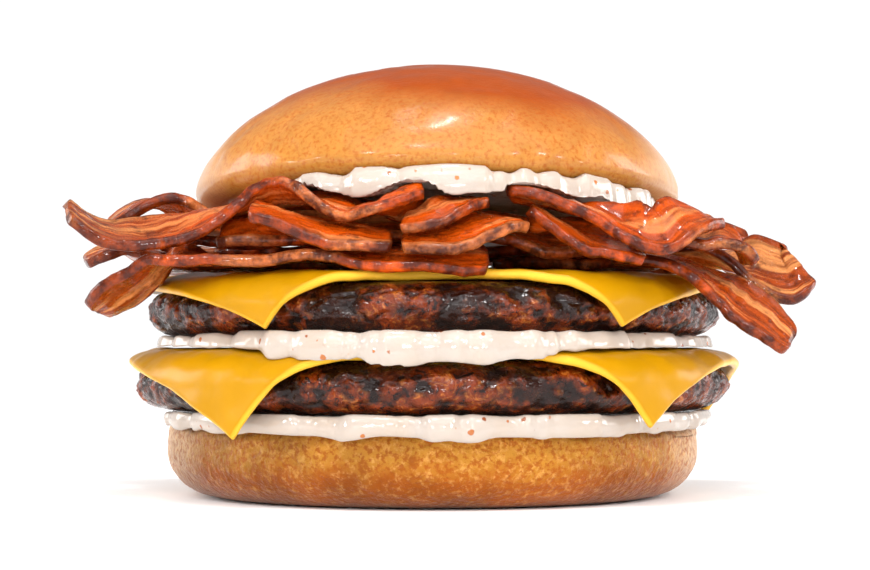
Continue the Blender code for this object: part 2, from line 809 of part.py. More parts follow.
def add_sauces(collection, heap):
    low = make_material("sauce_lower", WHITE_SAUCE, 0.3)
    middle = make_material("sauce_middle", WHITE_SAUCE, 0.3)
    high = make_material("sauce_upper", WHITE_SAUCE, 0.3)
    marks = sauce_profile(14.75, 13.7, 1.2, 0.3, 38.0)
    bm = make_sauce(LOWER_SAUCE, marks, 1.0, heel_top, lower_patty_floor)
    add_object(collection, "sauce_lower", bm, low)
    marks = sauce_profile(27.4, 26.5, 1.4, 0.6, 38.0)
    bm = make_sauce(MIDDLE_SAUCE, marks, 5.0, lower_cheese_top, upper_patty_floor)
    add_object(collection, "sauce_middle", bm, middle)
    marks = sauce_profile(-0.3, -1.4, 2.0, 0.4, 28.0)
    bm = make_sauce(UPPER_SAUCE, marks, 9.0, nothing_below, crown_floor)
    bmesh.ops.transform(bm, matrix=crown_matrix(), verts=bm.verts)
    rest_sauce(bm, heap)
    add_object(collection, "sauce_upper", bm, high)


def rest_sauce(bm, heap):
    """Presses the underside of the top sauce up where the heap stands against it."""
    bm.normal_update()
    for vert in bm.verts:
        if vert.normal.z > 0.0:
            continue
        floor = height_near(heap, vert.co.x, vert.co.y) + GAP + 0.5
        vert.co.z = max(vert.co.z, floor)


def main():
    clear_scene()
    collection = make_collection("double_cheeseburger")
    add_buns(collection)
    add_fillings(collection)
    heap = add_bacon(collection, make_material("bacon", CURED_MEAT, 0.35))
    add_sauces(collection, heap)


main()
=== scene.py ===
import functools
import math

import bmesh
import bpy
import numpy as np
from mathutils import Matrix, Vector, noise


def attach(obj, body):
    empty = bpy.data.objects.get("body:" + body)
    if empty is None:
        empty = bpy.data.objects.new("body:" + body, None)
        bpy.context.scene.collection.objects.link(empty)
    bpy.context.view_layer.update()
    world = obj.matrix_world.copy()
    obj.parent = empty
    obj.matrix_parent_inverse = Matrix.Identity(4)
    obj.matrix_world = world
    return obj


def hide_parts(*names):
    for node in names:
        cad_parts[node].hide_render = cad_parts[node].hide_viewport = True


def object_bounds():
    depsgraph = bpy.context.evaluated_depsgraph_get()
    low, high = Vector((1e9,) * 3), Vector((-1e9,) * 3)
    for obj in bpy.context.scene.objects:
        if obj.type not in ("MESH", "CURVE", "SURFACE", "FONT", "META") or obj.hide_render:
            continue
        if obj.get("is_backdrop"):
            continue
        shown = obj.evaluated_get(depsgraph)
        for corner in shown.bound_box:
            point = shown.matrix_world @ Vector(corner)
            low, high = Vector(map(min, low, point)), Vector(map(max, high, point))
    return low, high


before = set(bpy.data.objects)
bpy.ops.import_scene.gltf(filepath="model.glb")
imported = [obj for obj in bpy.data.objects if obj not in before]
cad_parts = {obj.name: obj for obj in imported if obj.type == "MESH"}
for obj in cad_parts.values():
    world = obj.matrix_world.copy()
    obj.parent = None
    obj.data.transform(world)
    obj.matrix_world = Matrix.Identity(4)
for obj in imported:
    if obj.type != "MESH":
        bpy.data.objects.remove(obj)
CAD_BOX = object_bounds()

bl_info = {
    "name": "Double Cheeseburger",
    "version": (1, 0, 0),
    "blender": (4, 5, 0),
    "location": "3D View > Sidebar > Burger",
    "description": "Dresses a double cheeseburger: buns, patties, cheese, sauces and bacon",
    "category": "Object",
}

# Lengths below are millimetres and angles are degrees. Azimuth is measured from
# the front (-Y), positive towards +X.
MM = 0.001
GAP = 0.3
HEEL_RADIUS = 47.4
HEEL_HEIGHT = 13.3
HEEL_FOOT_ROUND = 9.0
HEEL_TOP_ROUND = 2.4
CROWN_RADIUS = 43.4
CROWN_HEIGHT = 26.2
CROWN_WIDEST = 3.3
CROWN_RIM_ROUND = 5.0
CROWN_SEAT = 49.8
CROWN_SHIFT = 0.9
CROWN_TILT = 5.5
LOWER_PATTY_RADIUS = 53.5
LOWER_PATTY_MIDDLE = 19.6
UPPER_PATTY_RADIUS = 51.5
UPPER_PATTY_MIDDLE = 32.2
PATTY_HALF_HEIGHT = 4.45
PATTY_EDGE = 7.2
PATTY_RELIEF = 0.5
CHEESE_THICKNESS = 1.7
BARE_FRONT = (-5.0, 9.0)
BACON_THICKNESS = 1.9
BACON_CELL = 3.5
BACON_CELLS_ACROSS = 3
BACON_RUFFLE = 0.6
FIELD_HALF = 80
FIELD_EMPTY = -100.0

# Azimuth and reach of the four corners of each slice, and the reach at the
# middle of its front, right, back and left side.
LOWER_CHEESE = (
    ((-34.6, 66.4), (38.7, 64.6), (112.0, 64.0), (215.0, 62.0)),
    (47.0, 53.2, 48.0, 53.0),
)
UPPER_CHEESE = (
    ((-29.8, 59.4), (34.6, 59.0), (140.0, 60.0), (218.0, 60.0)),
    (43.6, 50.0, 46.5, 50.4),
)

# Azimuth, outer radius and droop of the bead that shows at the rim of a sauce.
LOWER_SAUCE = (
    (-180, 48.4, 0.3), (-130, 48.9, 0.8), (-90, 47.6, 0.3), (-62, 49.6, 0.9), (-40, 51.2, 1.1),
    (-22, 51.9, 1.5), (-16, 52.2, 2.2), (-9, 51.9, 1.4), (0, 52.1, 1.7), (6, 52.5, 2.4),
    (12, 52.1, 1.6), (28, 51.9, 1.8), (45, 51.4, 1.3), (70, 50.4, 0.6), (90, 49.4, 0.3),
    (135, 48.8, 0.8),
)
MIDDLE_SAUCE = (
    (-180, 48.0, 0.0), (-120, 47.2, 0.1), (-90, 49.0, 0.8), (-74, 50.2, 1.7), (-60, 50.0, 1.2),
    (-44, 51.2, 1.6), (-33, 52.6, 1.2), (-28, 55.2, 2.2), (-18, 55.5, 2.0), (-8, 55.8, 2.9),
    (2, 55.6, 2.2), (10, 55.8, 2.8), (18, 55.3, 1.9), (25, 53.0, 1.2), (36, 52.2, 1.6),
    (48, 51.2, 1.2), (62, 51.0, 1.8), (76, 50.2, 1.4), (90, 49.4, 0.8), (135, 48.0, 0.1),
)
UPPER_SAUCE = (
    (-180, 37.8, 0.2), (-100, 37.2, 0.0), (-62, 39.0, 0.3), (-46, 42.2, 0.8), (-34, 44.4, 1.2),
    (-20, 44.8, 1.9), (0, 44.9, 2.2), (16, 44.8, 1.7), (30, 44.8, 3.0), (42, 44.7, 4.4),
    (54, 44.2, 5.6), (62, 42.4, 4.4), (72, 39.0, 1.0), (120, 37.8, 0.2),
)

# Each strip, lowest first: name, width, and stations along its run. A station
# holds the front edge (x, y, z) and how steeply the strip rises behind that
# edge and at its back edge.
STRIPS = (
    ("bacon_left_low", 18, (
        (-57.5, -38, 32.5, -8, -4), (-53.5, -39, 36.0, -14, -8), (-50.0, -40, 38.2, -12, -5),
        (-46.0, -41, 41.0, -6, -3), (-41.0, -42, 39.7, 0, 0), (-31.0, -43, 39.4, 2, 0),
        (-20.0, -46, 38.6, 18, 0), (-9.0, -48, 38.3, 34, 0), (1.0, -48.5, 38.2, 38, 0),
        (9.0, -48.5, 38.5, 38, 0),
    )),
    ("bacon_front_low", 12, (
        (-5.0, -50.5, 38.9, 14, 6), (0.0, -50.5, 39.7, 26, 10), (5.0, -50, 41.1, 38, 14),
        (10.0, -48.5, 43.2, 38, 14), (14.0, -46.5, 44.8, 28, 8), (16.5, -45, 45.2, 20, 6),
    )),
    ("bacon_right_hanging", 11, (
        (29.0, -37, 40.6, 0, 0), (36.0, -38, 40.0, 4, 2), (42.0, -40, 36.8, 14, 10),
        (46.5, -42, 32.8, 25, 20), (50.0, -43.5, 29.2, 32, 28), (53.5, -45, 26.4, 34, 30),
        (56.0, -46, 24.6, 34, 30),
    )),
    ("bacon_right_pale", 16, (
        (38.0, -27, 41.0, 2, 0), (46.0, -29, 38.6, 18, 10), (52.0, -30.5, 34.8, 42, 34),
        (58.0, -31.5, 33.0, 46, 36), (62.0, -31.5, 34.2, 46, 36), (65.0, -30, 36.4, 40, 30),
    )),
    ("bacon_back_left", 20, (
        (-59.0, 22, 38.5, 6, 2), (-53.0, 23, 41.6, 4, 0), (-46.0, 25, 40.8, 0, -8),
        (-36.0, 26, 40.6, 0, -14), (-26.0, 27, 40.6, 0, -12), (-14.0, 28, 40.6, 0, -16),
        (-4.0, 28, 40.6, 0, -12),
    )),
    ("bacon_back_right", 20, (
        (2.0, 28, 40.6, 0, -12), (12.0, 28, 40.6, 0, -16), (22.0, 27, 40.6, 0, -10),
        (33.0, 26, 40.6, 0, -12), (43.0, 24, 40.6, 0, -6), (51.0, 22, 42.2, 4, 0),
        (57.0, 20, 40.0, 6, 2), (62.0, 19, 37.0, 8, 4),
    )),
    ("bacon_middle_left", 21, (
        (-61.0, -10, 41.0, 6, 4), (-55.0, -9, 43.2, 4, 2), (-48.0, -8, 41.0, 0, 0),
        (-38.0, -8, 40.6, 0, 0), (-26.0, -8, 41.0, 0, 0), (-12.0, -8, 40.6, 0, 0),
        (0.0, -8, 40.6, 0, 0), (9.0, -8, 40.6, 0, 0),
    )),
    ("bacon_middle_right", 21, (
        (10.4, -10, 40.8, 0, 0), (16.0, -10, 40.6, 0, 0), (26.0, -9, 41.0, 0, 0),
        (38.0, -9, 40.8, 0, 0), (47.0, -9, 42.6, 2, 0), (54.0, -10, 40.8, 6, 4),
        (60.0, -11, 37.4, 10, 6),
    )),
    ("bacon_left_deep", 9, (
        (-42.0, -31, 41.0, 24, 8), (-34.0, -32, 40.4, 36, 20), (-24.0, -33, 40.6, 44, 30),
        (-13.0, -34, 41.4, 52, 40), (-3.0, -34, 41.8, 56, 44),
    )),
    ("bacon_right_deep", 12, (
        (0.0, -33, 41.4, 46, 34), (11.0, -33, 41.4, 46, 34), (20.0, -33, 40.8, 44, 30),
        (28.0, -32, 40.8, 40, 24), (36.0, -30, 40.4, 30, 16),
    )),
    ("bacon_back_upper", 18, (
        (-56.0, 27, 46.0, 4, 2), (-49.0, 26, 44.2, 0, 0), (-38.0, 25, 42.9, 0, -2),
        (-22.0, 23, 42.9, 0, -4), (-6.0, 22, 42.9, 0, -4), (10.0, 22, 42.9, 0, -4),
        (26.0, 22, 42.9, 0, -4), (40.0, 20, 43.0, 0, 0), (49.0, 18, 45.6, 2, 0), (56.0, 17, 46.6, 4, 2),
    )),
    ("bacon_middle_back", 15, (
        (-58.0, 9, 46.2, 4, 2), (-51.0, 7, 44.6, 0, 0), (-40.0, 5, 43.2, 0, 0), (-24.0, 3, 43.2, 0, 0),
        (-6.0, 2, 43.2, 0, 0), (14.0, 2, 43.2, 0, 0), (30.0, 3, 43.2, 0, 0), (42.0, 4, 44.6, 0, 0),
        (50.0, 4, 46.8, 2, 0), (57.0, 3, 44.6, 4, 2),
    )),
    ("bacon_left_mid", 9, (
        (-36.0, -38, 42.0, 24, 6), (-30.0, -39, 43.2, 24, 6), (-23.0, -39, 42.8, 24, 6),
        (-16.0, -39, 42.2, 24, 6),
    )),
    ("bacon_right_low", 12, (
        (15.0, -43, 43.2, 34, 12), (19.5, -43.5, 42.4, 38, 12), (24.0, -44, 41.2, 38, 12),
        (29.0, -44.5, 40.2, 36, 10), (34.5, -44, 40.0, 28, 6),
    )),
    ("bacon_right_curl", 12, (
        (33.0, -40, 41.4, 20, 6), (38.0, -41, 41.2, 18, 6), (42.0, -42, 41.4, 18, 4),
        (46.5, -42.5, 43.0, 12, 2), (50.5, -42.5, 42.4, 6, 0), (53.0, -42, 39.4, 4, 0),
    )),
    ("bacon_front_tip", 10, (
        (-29.5, -48.5, 46.4, 36, 12), (-25.0, -48.5, 45.0, 36, 12), (-20.0, -48.5, 43.4, 36, 10),
        (-15.0, -49, 41.6, 38, 10), (-10.5, -49.5, 40.2, 36, 10), (-6.5, -49.5, 39.8, 30, 10),
    )),
    ("bacon_front_diagonal", 8, (
        (-5.5, -49.5, 41.8, 34, 10), (-2.5, -50, 42.6, 36, 8), (1.0, -49.5, 44.0, 34, 6),
        (4.5, -47.5, 46.2, 32, 6), (7.5, -45, 48.0, 16, 4), (10.0, -43.5, 49.0, 6, 2),
    )),
    ("bacon_left_arch", 15, (
        (-54.0, -25, 46.8, 8, 4), (-49.0, -24, 50.0, 4, 2), (-44.0, -23, 50.8, 2, 0),
        (-39.5, -22, 48.6, 0, -2), (-34.0, -21.5, 46.2, 0, 0), (-24.0, -21, 45.4, 0, 0),
        (-12.0, -21, 45.6, 0, 0), (-2.0, -21, 45.6, 0, 0),
    )),
    ("bacon_right_top", 9, (
        (11.5, -42, 48.2, 16, 4), (16.5, -43, 46.8, 18, 4), (20.4, -43.5, 46.0, 18, 4),
        (25.2, -44.5, 46.2, 6, 0), (29.0, -45.5, 44.6, 8, 0), (32.5, -47, 42.0, 34, 8),
        (36.0, -47.5, 40.8, 42, 10), (39.5, -46.5, 42.2, 36, 8), (43.0, -44, 44.8, 22, 6),
        (48.5, -40, 45.6, 18, 4),
    )),
    ("bacon_left_top", 14, (
        (-58.5, -43, 46.4, 30, 16), (-54.2, -42, 42.8, 28, 16), (-49.4, -41, 41.6, 28, 18),
        (-43.1, -40.5, 41.2, 26, 20), (-36.7, -40, 41.8, 24, 16), (-30.3, -40, 44.4, 16, 4),
        (-24.6, -41, 47.6, 10, 0), (-20.0, -43.5, 47.6, 26, 0), (-14.2, -46, 45.4, 42, 2),
        (-9.0, -47.5, 43.8, 48, 4), (-4.6, -47.5, 43.4, 42, 2), (-1.0, -47.2, 45.2, 20, 2),
    )),
)


# Top, bottom, rise, sink and flat inner radius of each sauce.
LOWER_SAUCE_FORM = (14.75, 13.7, 1.2, 0.3, 38.0)
MIDDLE_SAUCE_FORM = (27.4, 26.5, 1.4, 0.6, 38.0)
UPPER_SAUCE_FORM = (-0.3, -1.4, 2.0, 0.4, 28.0)

# Faces round each piece, and the steps along and across a strip.
BUN_SEGMENTS = 320
PATTY_SEGMENTS = 720
CRUMB_SEED = 5
SAUCE_SEGMENTS = 540
CHEESE_SEGMENTS = 480
STRIP_STEP = 0.62
STRIP_STEP_ACROSS = 0.55
STRIP_END_ROUND = 0.8

CROWN_TOP = "#923C02"
CROWN_SIDE = "#A86E34"
CROWN_LOW = "#A87030"
HEEL_TOP = "#AC7024"
HEEL_MIDDLE = "#A67022"
HEEL_FOOT = "#8C4504"
# Pale paint for the painted sheen at the left and right rims of both buns.
SHEEN_PAINT_PALE = "#DDC4A6"
BEEF_DARK = "#160502"
BEEF_BROWN = "#702804"
BEEF_PALE = "#A45C22"
CHEESE_BODY = "#AA7802"
# Paler paint for the painted highlight along the rim of each cheese slice.
CHEESE_RIM_HIGHLIGHT = "#F0B838"
SAUCE_WHITE = "#AA9E94"
FLECK_BEND = 0.0006
SAUCE_SPICE = "#7A3A18"
SAUCE_FLECK = "#A8622A"
BACON_MEAT = "#B24206"
BACON_FAT = "#C8844C"
BACON_CHAR = "#3A1005"
ROOM_WHITE = "#FFFFFF"
FLOOR_WHITE = "#FBFBFB"
BACON_PINK = "#8E380C"
CRUMB_GOLD = "#DDA860"
SAUCE_CREAM = "#AA937A"

# Soft boxes: name, place, width and height in metres, and power in watts.
SOFTBOXES = (
    ("top_box", (0.02, -0.55, 0.70), (0.30, 0.22), 0.7),
    ("crown_box", (0.03, -0.03, 0.85), (0.10, 0.035), 2.0),
    ("left_box", (-0.8, 0.18, 0.30), (0.4, 0.4), 4.4),
    ("right_box", (0.8, 0.18, 0.30), (0.4, 0.4), 4.4),
)
LAMPS_AIM = (0.0, 0.0, 0.035)
SPARK_SIZE = (0.022, 0.022)
SPARK_POWER = 0.65
SUN_STRENGTH = 2.45
SUN_SOFTNESS = 70.0
SUN_TILT = 35.0
ROOM_LIGHT = 0.27
CAMERA_PLACE = (0.00036, -0.4, 0.0256)
CAMERA_TILT = 91.68
CAMERA_LENS = 91.95
CAMERA_SENSOR = 36.0

# Small bare lamps that give wet beef and oily bacon their sparkle.
SPARKS = ((-0.30, -0.50, 0.36), (0.32, -0.46, 0.34), (-0.05, -0.50, 0.60), (0.10, -0.60, 0.16),
          (-0.55, -0.28, 0.18), (0.58, -0.26, 0.20), (-0.16, -0.62, 0.10))


def by_azimuth(rows, azimuth, column):
    """A column of an azimuth table, blended smoothly round the full turn."""
    turned = azimuth
    if turned < rows[0][0]:
        turned += 360.0
    angles = [row[0] for row in rows] + [rows[0][0] + 360.0]
    values = [row[column] for row in rows] + [rows[0][column]]
    step = max(i for i, angle in enumerate(angles[:-1]) if angle <= turned)
    share = (turned - angles[step]) / (angles[step + 1] - angles[step])
    eased = share * share * (3.0 - 2.0 * share)
    return values[step] + (values[step + 1] - values[step]) * eased


def arc(centre, radii, start, end, count):
    """Points of an elliptic arc in the (radius, height) plane, ends included."""
    points = []
    for i in range(count + 1):
        angle = math.radians(start + (end - start) * i / count)
        radius = centre[0] + radii[0] * math.cos(angle)
        height = centre[1] + radii[1] * math.sin(angle)
        points.append((radius, height))
    return points


def line(start, end, count):
    """Points from start to end, the end left out."""
    first = np.array(start, float)
    last = np.array(end, float)
    return [tuple(first + (last - first) * i / count) for i in range(count)]


def polar(radius, azimuth, height):
    angle = math.radians(azimuth)
    return Vector((radius * math.sin(angle), -radius * math.cos(angle), height))


def heel_place(radius, height, azimuth, ring):
    """The heel with its soft out-of-round sides and shallow dents in its top edge."""
    point = polar(radius, azimuth, height)
    share = min(1.0, height / HEEL_HEIGHT) * min(1.0, radius / HEEL_RADIUS)
    swell = 0.7 * noise.noise(Vector((point.x, point.y, 0.0)) / 26.0)
    dent = 0.8 * max(0.0, noise.noise(Vector((point.x, point.y, 40.0)) / 11.0))
    out = 1.0 + swell * share / HEEL_RADIUS
    top = dent if height > HEEL_HEIGHT - HEEL_TOP_ROUND and radius > 40.0 else 0.0
    return Vector((point.x * out, point.y * out, height - top * share))


def crown_matrix():
    lift = Matrix.Translation((CROWN_SHIFT, 0.0, CROWN_SEAT))
    return lift @ Matrix.Rotation(math.radians(-CROWN_TILT), 4, "X")


def crown_place(radius, height, azimuth, ring):
    """The crown's dome, a little uneven."""
    point = polar(radius, azimuth, height)
    swell = 0.5 * noise.noise(point / 24.0)
    share = min(1.0, height / CROWN_WIDEST) * min(1.0, radius / 12.0)
    return point * (1.0 + swell * share / CROWN_RADIUS)


def sauce_profile(top, bottom, rise, sink, inner):
    """Ring marks of a sauce layer: place against the bead's rim, then height."""
    return (
        (0.0, top),
        (inner, top),
        (-4.6, top + 0.2 * rise),
        (-1.9, top + rise),
        (-0.5, top + 0.5 * rise),
        (0.0, 0.5 * (top + bottom)),
        (-0.6, bottom - 0.6 * sink),
        (-2.2, bottom - sink),
        (-5.2, bottom),
        (inner, bottom),
        (0.0, bottom),
    )


def edge_height(radius, flat, across, down):
    """Height of a rounded edge over its own middle."""
    share = max(0.0, radius - flat) / across
    return down * math.sqrt(max(0.0, 1.0 - share * share))


def heel_top(radius, azimuth):
    inner = HEEL_RADIUS - HEEL_TOP_ROUND
    shoulder = HEEL_HEIGHT - HEEL_TOP_ROUND
    return shoulder + edge_height(radius, inner, HEEL_TOP_ROUND + 0.6, HEEL_TOP_ROUND)


def lower_patty_floor(radius, azimuth):
    flat = LOWER_PATTY_RADIUS - PATTY_EDGE
    rise = edge_height(radius, flat, PATTY_EDGE, PATTY_HALF_HEIGHT)
    return LOWER_PATTY_MIDDLE - rise - 0.15


def upper_patty_floor(radius, azimuth):
    flat = UPPER_PATTY_RADIUS - PATTY_EDGE
    rise = edge_height(radius, flat, PATTY_EDGE, PATTY_HALF_HEIGHT)
    return UPPER_PATTY_MIDDLE - rise - 0.15


def lower_cheese_top(radius, azimuth):
    """Top of the lower slice, or of the patty where the slice stops short."""
    flat = LOWER_PATTY_RADIUS - PATTY_EDGE
    across, down = cheese_stand()
    if BARE_FRONT[0] < azimuth < BARE_FRONT[1] and radius > 49.5:
        rise = edge_height(radius, flat, PATTY_EDGE, PATTY_HALF_HEIGHT)
        return LOWER_PATTY_MIDDLE + rise + 0.3
    half = CHEESE_THICKNESS / 2.0
    rise = edge_height(radius, flat, across + half, down + half)
    return LOWER_PATTY_MIDDLE + rise + 0.4


def crown_floor(radius, azimuth):
    """Underside of the crown's rounded rim in the crown's own frame."""
    flat = CROWN_RADIUS - CROWN_RIM_ROUND
    if radius > CROWN_RADIUS + GAP:
        return CROWN_WIDEST
    return CROWN_WIDEST - edge_height(radius, flat, CROWN_RIM_ROUND, CROWN_WIDEST) - 0.1


def nothing_below(radius, azimuth):
    return -1000.0


def cheese_reach(corners, sides, psi):
    """Azimuth and reach of the slice's edge in a direction of its own square."""
    quarter = math.floor((psi + 45.0) / 90.0)
    local = psi - 90.0 * quarter
    before = corners[quarter % 4]
    after = corners[(quarter + 1) % 4]
    start = before[0]
    end = after[0]
    while end < start:
        end += 360.0
    share = (local + 45.0) / 90.0
    azimuth = start + (end - start) * share
    side = sides[quarter % 4]
    corner = before[1] if local < 0.0 else after[1]
    bend = (1.0 / math.cos(math.radians(local)) - 1.0) / (math.sqrt(2.0) - 1.0)
    return azimuth, side + (corner - side) * bend


def cheese_stand():
    """Half width and half height of the curve that a slice follows over an edge."""
    stand = GAP + CHEESE_THICKNESS / 2.0
    return PATTY_EDGE + stand + 1.5 * PATTY_RELIEF, PATTY_HALF_HEIGHT + stand


def cheese_point(distance, azimuth, radius, middle, seed):
    """Where a point of the slice lies once it has sagged over the patty's edge."""
    across, down = cheese_stand()
    flat = radius - PATTY_EDGE
    quarter = math.pi / 2.0 * math.sqrt((across ** 2 + down ** 2) / 2.0)
    past = distance - flat
    ripple = 0.3 * abs(noise.noise(polar(distance / 9.0, azimuth, seed)))
    if past <= 0.0:
        return polar(distance, azimuth, middle + down)
    share = min(past / quarter, 1.0)
    angle = share * math.pi / 2.0
    hang = max(0.0, past - quarter)
    bulge = 0.35 * math.sin(2.0 * angle)
    reach = flat + across * math.sin(angle) + hang * 0.08 + ripple * share + bulge
    return polar(reach, azimuth, middle + down * math.cos(angle) - hang + bulge)


def smooth_run(stations, count):
    """Catmull-Rom curve through the stations, at even steps of its length."""
    places = np.arange(12 * (len(stations) - 1) + 1) / 12.0
    fine = catmull(np.array(stations, float), places)
    steps = np.linalg.norm(np.diff(fine[:, :3], axis=0), axis=1)
    length = np.concatenate([[0.0], np.cumsum(steps)])
    wanted = np.linspace(0.0, length[-1], count + 1)
    columns = [np.interp(wanted, length, fine[:, k]) for k in range(5)]
    return np.stack(columns, axis=1), length[-1]


def run_length(stations):
    return smooth_run(stations, 4)[1]


def strip_sheet(stations, width, cells, across, phase):
    """Middle surface of a strip as an array of points, run by width."""
    run, length = smooth_run(stations, cells)
    heading = np.gradient(run[:, :2], axis=0)
    heading /= np.linalg.norm(heading, axis=1)[:, None]
    back = np.stack([-heading[:, 1], heading[:, 0]], axis=1)
    sheet = np.zeros((cells + 1, across + 1, 3))
    for i in range(cells + 1):
        along = length * i / cells
        near_end = min(along, length - along) / 5.0
        blunt = 1.0 - 0.22 * max(0.0, 1.0 - near_end) ** 2
        uneven = 1.0 + 0.06 * math.sin(along / 5.3 + phase)
        span = width * blunt * uneven
        start = width * (1.0 - blunt) / 2.0
        sheet[i] = strip_section(run[i], back[i], start, span, across, along, phase)
    return sheet


def strip_section(row, back, start, span, across, along, phase):
    """Points from the front edge to the back edge of a strip at one station."""
    x, y, z, front_rise, back_rise = row
    points = []
    out, up = start, 0.0
    steps = 12
    for k in range(steps * across + 1):
        share = k / (steps * across)
        if k % steps == 0:
            edge = abs(2.0 * share - 1.0) ** 2
            wave = math.sin(along / 2.9 + phase + 2.2 * share)
            ruffle = BACON_RUFFLE * edge * wave
            points.append((x + back[0] * out, y + back[1] * out, z + up + ruffle))
        rise = back_rise + (front_rise - back_rise) * (1.0 - share) ** 2.2
        out += math.cos(math.radians(rise)) * span / (steps * across)
        up += math.sin(math.radians(rise)) * span / (steps * across)
    return np.array(points)


def new_field():
    size = 2 * FIELD_HALF + 1
    return np.full((size, size), FIELD_EMPTY)


def cell_of(value):
    return int(round(value)) + FIELD_HALF


def raise_field(field, sheet, half):
    """Marks how high the top of a sheet stands over each millimetre cell."""
    fine = sheet
    for axis in (0, 1):
        for _ in range(3):
            middle = (np.take(fine, range(1, fine.shape[axis]), axis)
                      + np.take(fine, range(0, fine.shape[axis] - 1), axis)) / 2.0
            places = np.arange(1, fine.shape[axis])
            fine = np.insert(fine, places, middle, axis=axis)
    for x, y, z in fine.reshape(-1, 3):
        i = cell_of(x)
        j = cell_of(y)
        field[i, j] = max(field[i, j], z + half)


def height_near(field, x, y):
    i = cell_of(x)
    j = cell_of(y)
    return field[i - 1:i + 2, j - 1:j + 2].max()


def spread(values, pick):
    """Runs a filter three rows wide along a strip's length."""
    padded = np.pad(values, ((1, 1), (0, 0)), mode="edge")
    rows = len(values)
    return pick(np.array([padded[i:i + rows] for i in range(3)]), axis=0)


def rest_on(field, sheet, half):
    """Lifts a strip wherever it would sink into what lies under it, smoothly along
    its run, so a strip with others behind its front edge leans back over them."""
    lift = np.zeros(sheet.shape[:2])
    for i in range(sheet.shape[0]):
        for j in range(sheet.shape[1]):
            x, y, z = sheet[i, j]
            floor = height_near(field, x, y) + GAP + half
            lift[i, j] = max(0.0, floor - z)
    smooth = spread(spread(lift, np.max), np.mean)
    rested = sheet.copy()
    rested[:, :, 2] += np.maximum(smooth, lift)
    return rested


def upper_cheese_field():
    """Height of the upper slice, which the lowest strips lie on."""
    field = new_field()
    corners, sides = UPPER_CHEESE
    for psi in range(0, 360, 2):
        azimuth, reach = cheese_reach(corners, sides, psi - 45.0)
        for distance in np.arange(0.0, reach, 0.7):
            point = cheese_point(distance, azimuth, UPPER_PATTY_RADIUS,
                                 UPPER_PATTY_MIDDLE, 3.0)
            raise_field(field, np.array([[tuple(point)]]), CHEESE_THICKNESS / 2.0 + 0.7)
    return field


def graded(marks, counts):
    """Values that run through the marks with so many even steps between each two."""
    values = []
    for start, end, count in zip(marks, marks[1:], counts):
        values += [start + (end - start) * i / count for i in range(count)]
    return values + [marks[-1]]


def catmull(values, places):
    """Smooth curve through rows of values, read at fractional row numbers."""
    first = 2 * values[0] - values[1]
    last = 2 * values[-1] - values[-2]
    rows = np.concatenate([first[None], values, last[None]])
    places = np.clip(places, 0.0, len(values) - 1.0)
    step = np.minimum(places.astype(int), len(values) - 2)
    t = (places - step).reshape((-1,) + (1,) * (values.ndim - 1))
    a, b, c, d = rows[step], rows[step + 1], rows[step + 2], rows[step + 3]
    linear = (c - a) * t
    square = (2 * a - 5 * b + 4 * c - d) * t ** 2
    cube = (3 * b - a - 3 * c + d) * t ** 3
    return 0.5 * (2 * b + linear + square + cube)


def fractal(point, size, octaves):
    """Layered noise of a given feature size, about -1 to 1."""
    return noise.fractal(point / size, 1.0, 2.0, octaves) if octaves > 1 else noise.noise(point / size)


def wrapped(points, marks):
    """A grid rolled up into a closed skin: rings by segments, with a pole at each end."""
    rings = len(points) - 1
    segments = points.shape[1]
    bm = bmesh.new()
    bmesh.ops.create_grid(bm, x_segments=segments, y_segments=rings, size=1.0)
    layers = {name: bm.verts.layers.float.new(name) for name in marks}
    for vert in bm.verts:
        ring = round((1.0 - vert.co.y) / 2.0 * rings)
        column = round((vert.co.x + 1.0) / 2.0 * segments) % segments
        column = column if 0 < ring < rings else 0
        vert.co = Vector(points[ring, column])
        for name, layer in layers.items():
            vert[layer] = float(marks[name][ring, column])
    bmesh.ops.remove_doubles(bm, verts=bm.verts, dist=1e-6)
    bmesh.ops.recalc_face_normals(bm, faces=bm.faces)
    return bm


def lathed(profile, segments, place):
    """A closed skin whose rings follow a profile from its top centre to its bottom one."""
    points = np.zeros((len(profile), segments, 3))
    for ring, (radius, height) in enumerate(profile):
        for column in range(segments):
            points[ring, column] = place(radius, height, 360.0 * column / segments, ring)
    return wrapped(points, {})


def shown_heel(dents):
    """The heel bun in fine rings, its side lightly creased."""
    inner = HEEL_RADIUS - HEEL_TOP_ROUND
    foot = HEEL_RADIUS - HEEL_FOOT_ROUND
    shoulder = HEEL_HEIGHT - HEEL_TOP_ROUND
    foot_height = HEEL_FOOT_ROUND - 1.0
    profile = line((0, HEEL_HEIGHT), (inner, HEEL_HEIGHT), 8)
    profile += arc((inner, shoulder), (HEEL_TOP_ROUND, HEEL_TOP_ROUND), 90, 0, 12)
    profile += line((HEEL_RADIUS, shoulder - 0.4), (HEEL_RADIUS, foot_height + 0.4), 4)
    profile += arc((foot, foot_height), (HEEL_FOOT_ROUND, foot_height), 0, -90, 24)
    profile += line((foot * 0.9, 0), (0, 0), 5)
    profile.append((0, 0))

    def place(radius, height, azimuth, ring):
        point = heel_place(radius, height, azimuth, ring)
        side = min(1.0, height / 2.0) * min(1.0, radius / HEEL_RADIUS) ** 6
        crease = min(0.0, fractal(Vector((point.x, point.y, point.z * 2.2)), 5.0, 3))
        small = fractal(point, 1.6, 2) - 0.5
        inward = 1.0 + side * (dents * crease + 0.1 * dents * small) / HEEL_RADIUS
        return Vector((point.x * inward, point.y * inward, point.z))

    return lathed(profile, BUN_SEGMENTS, place)


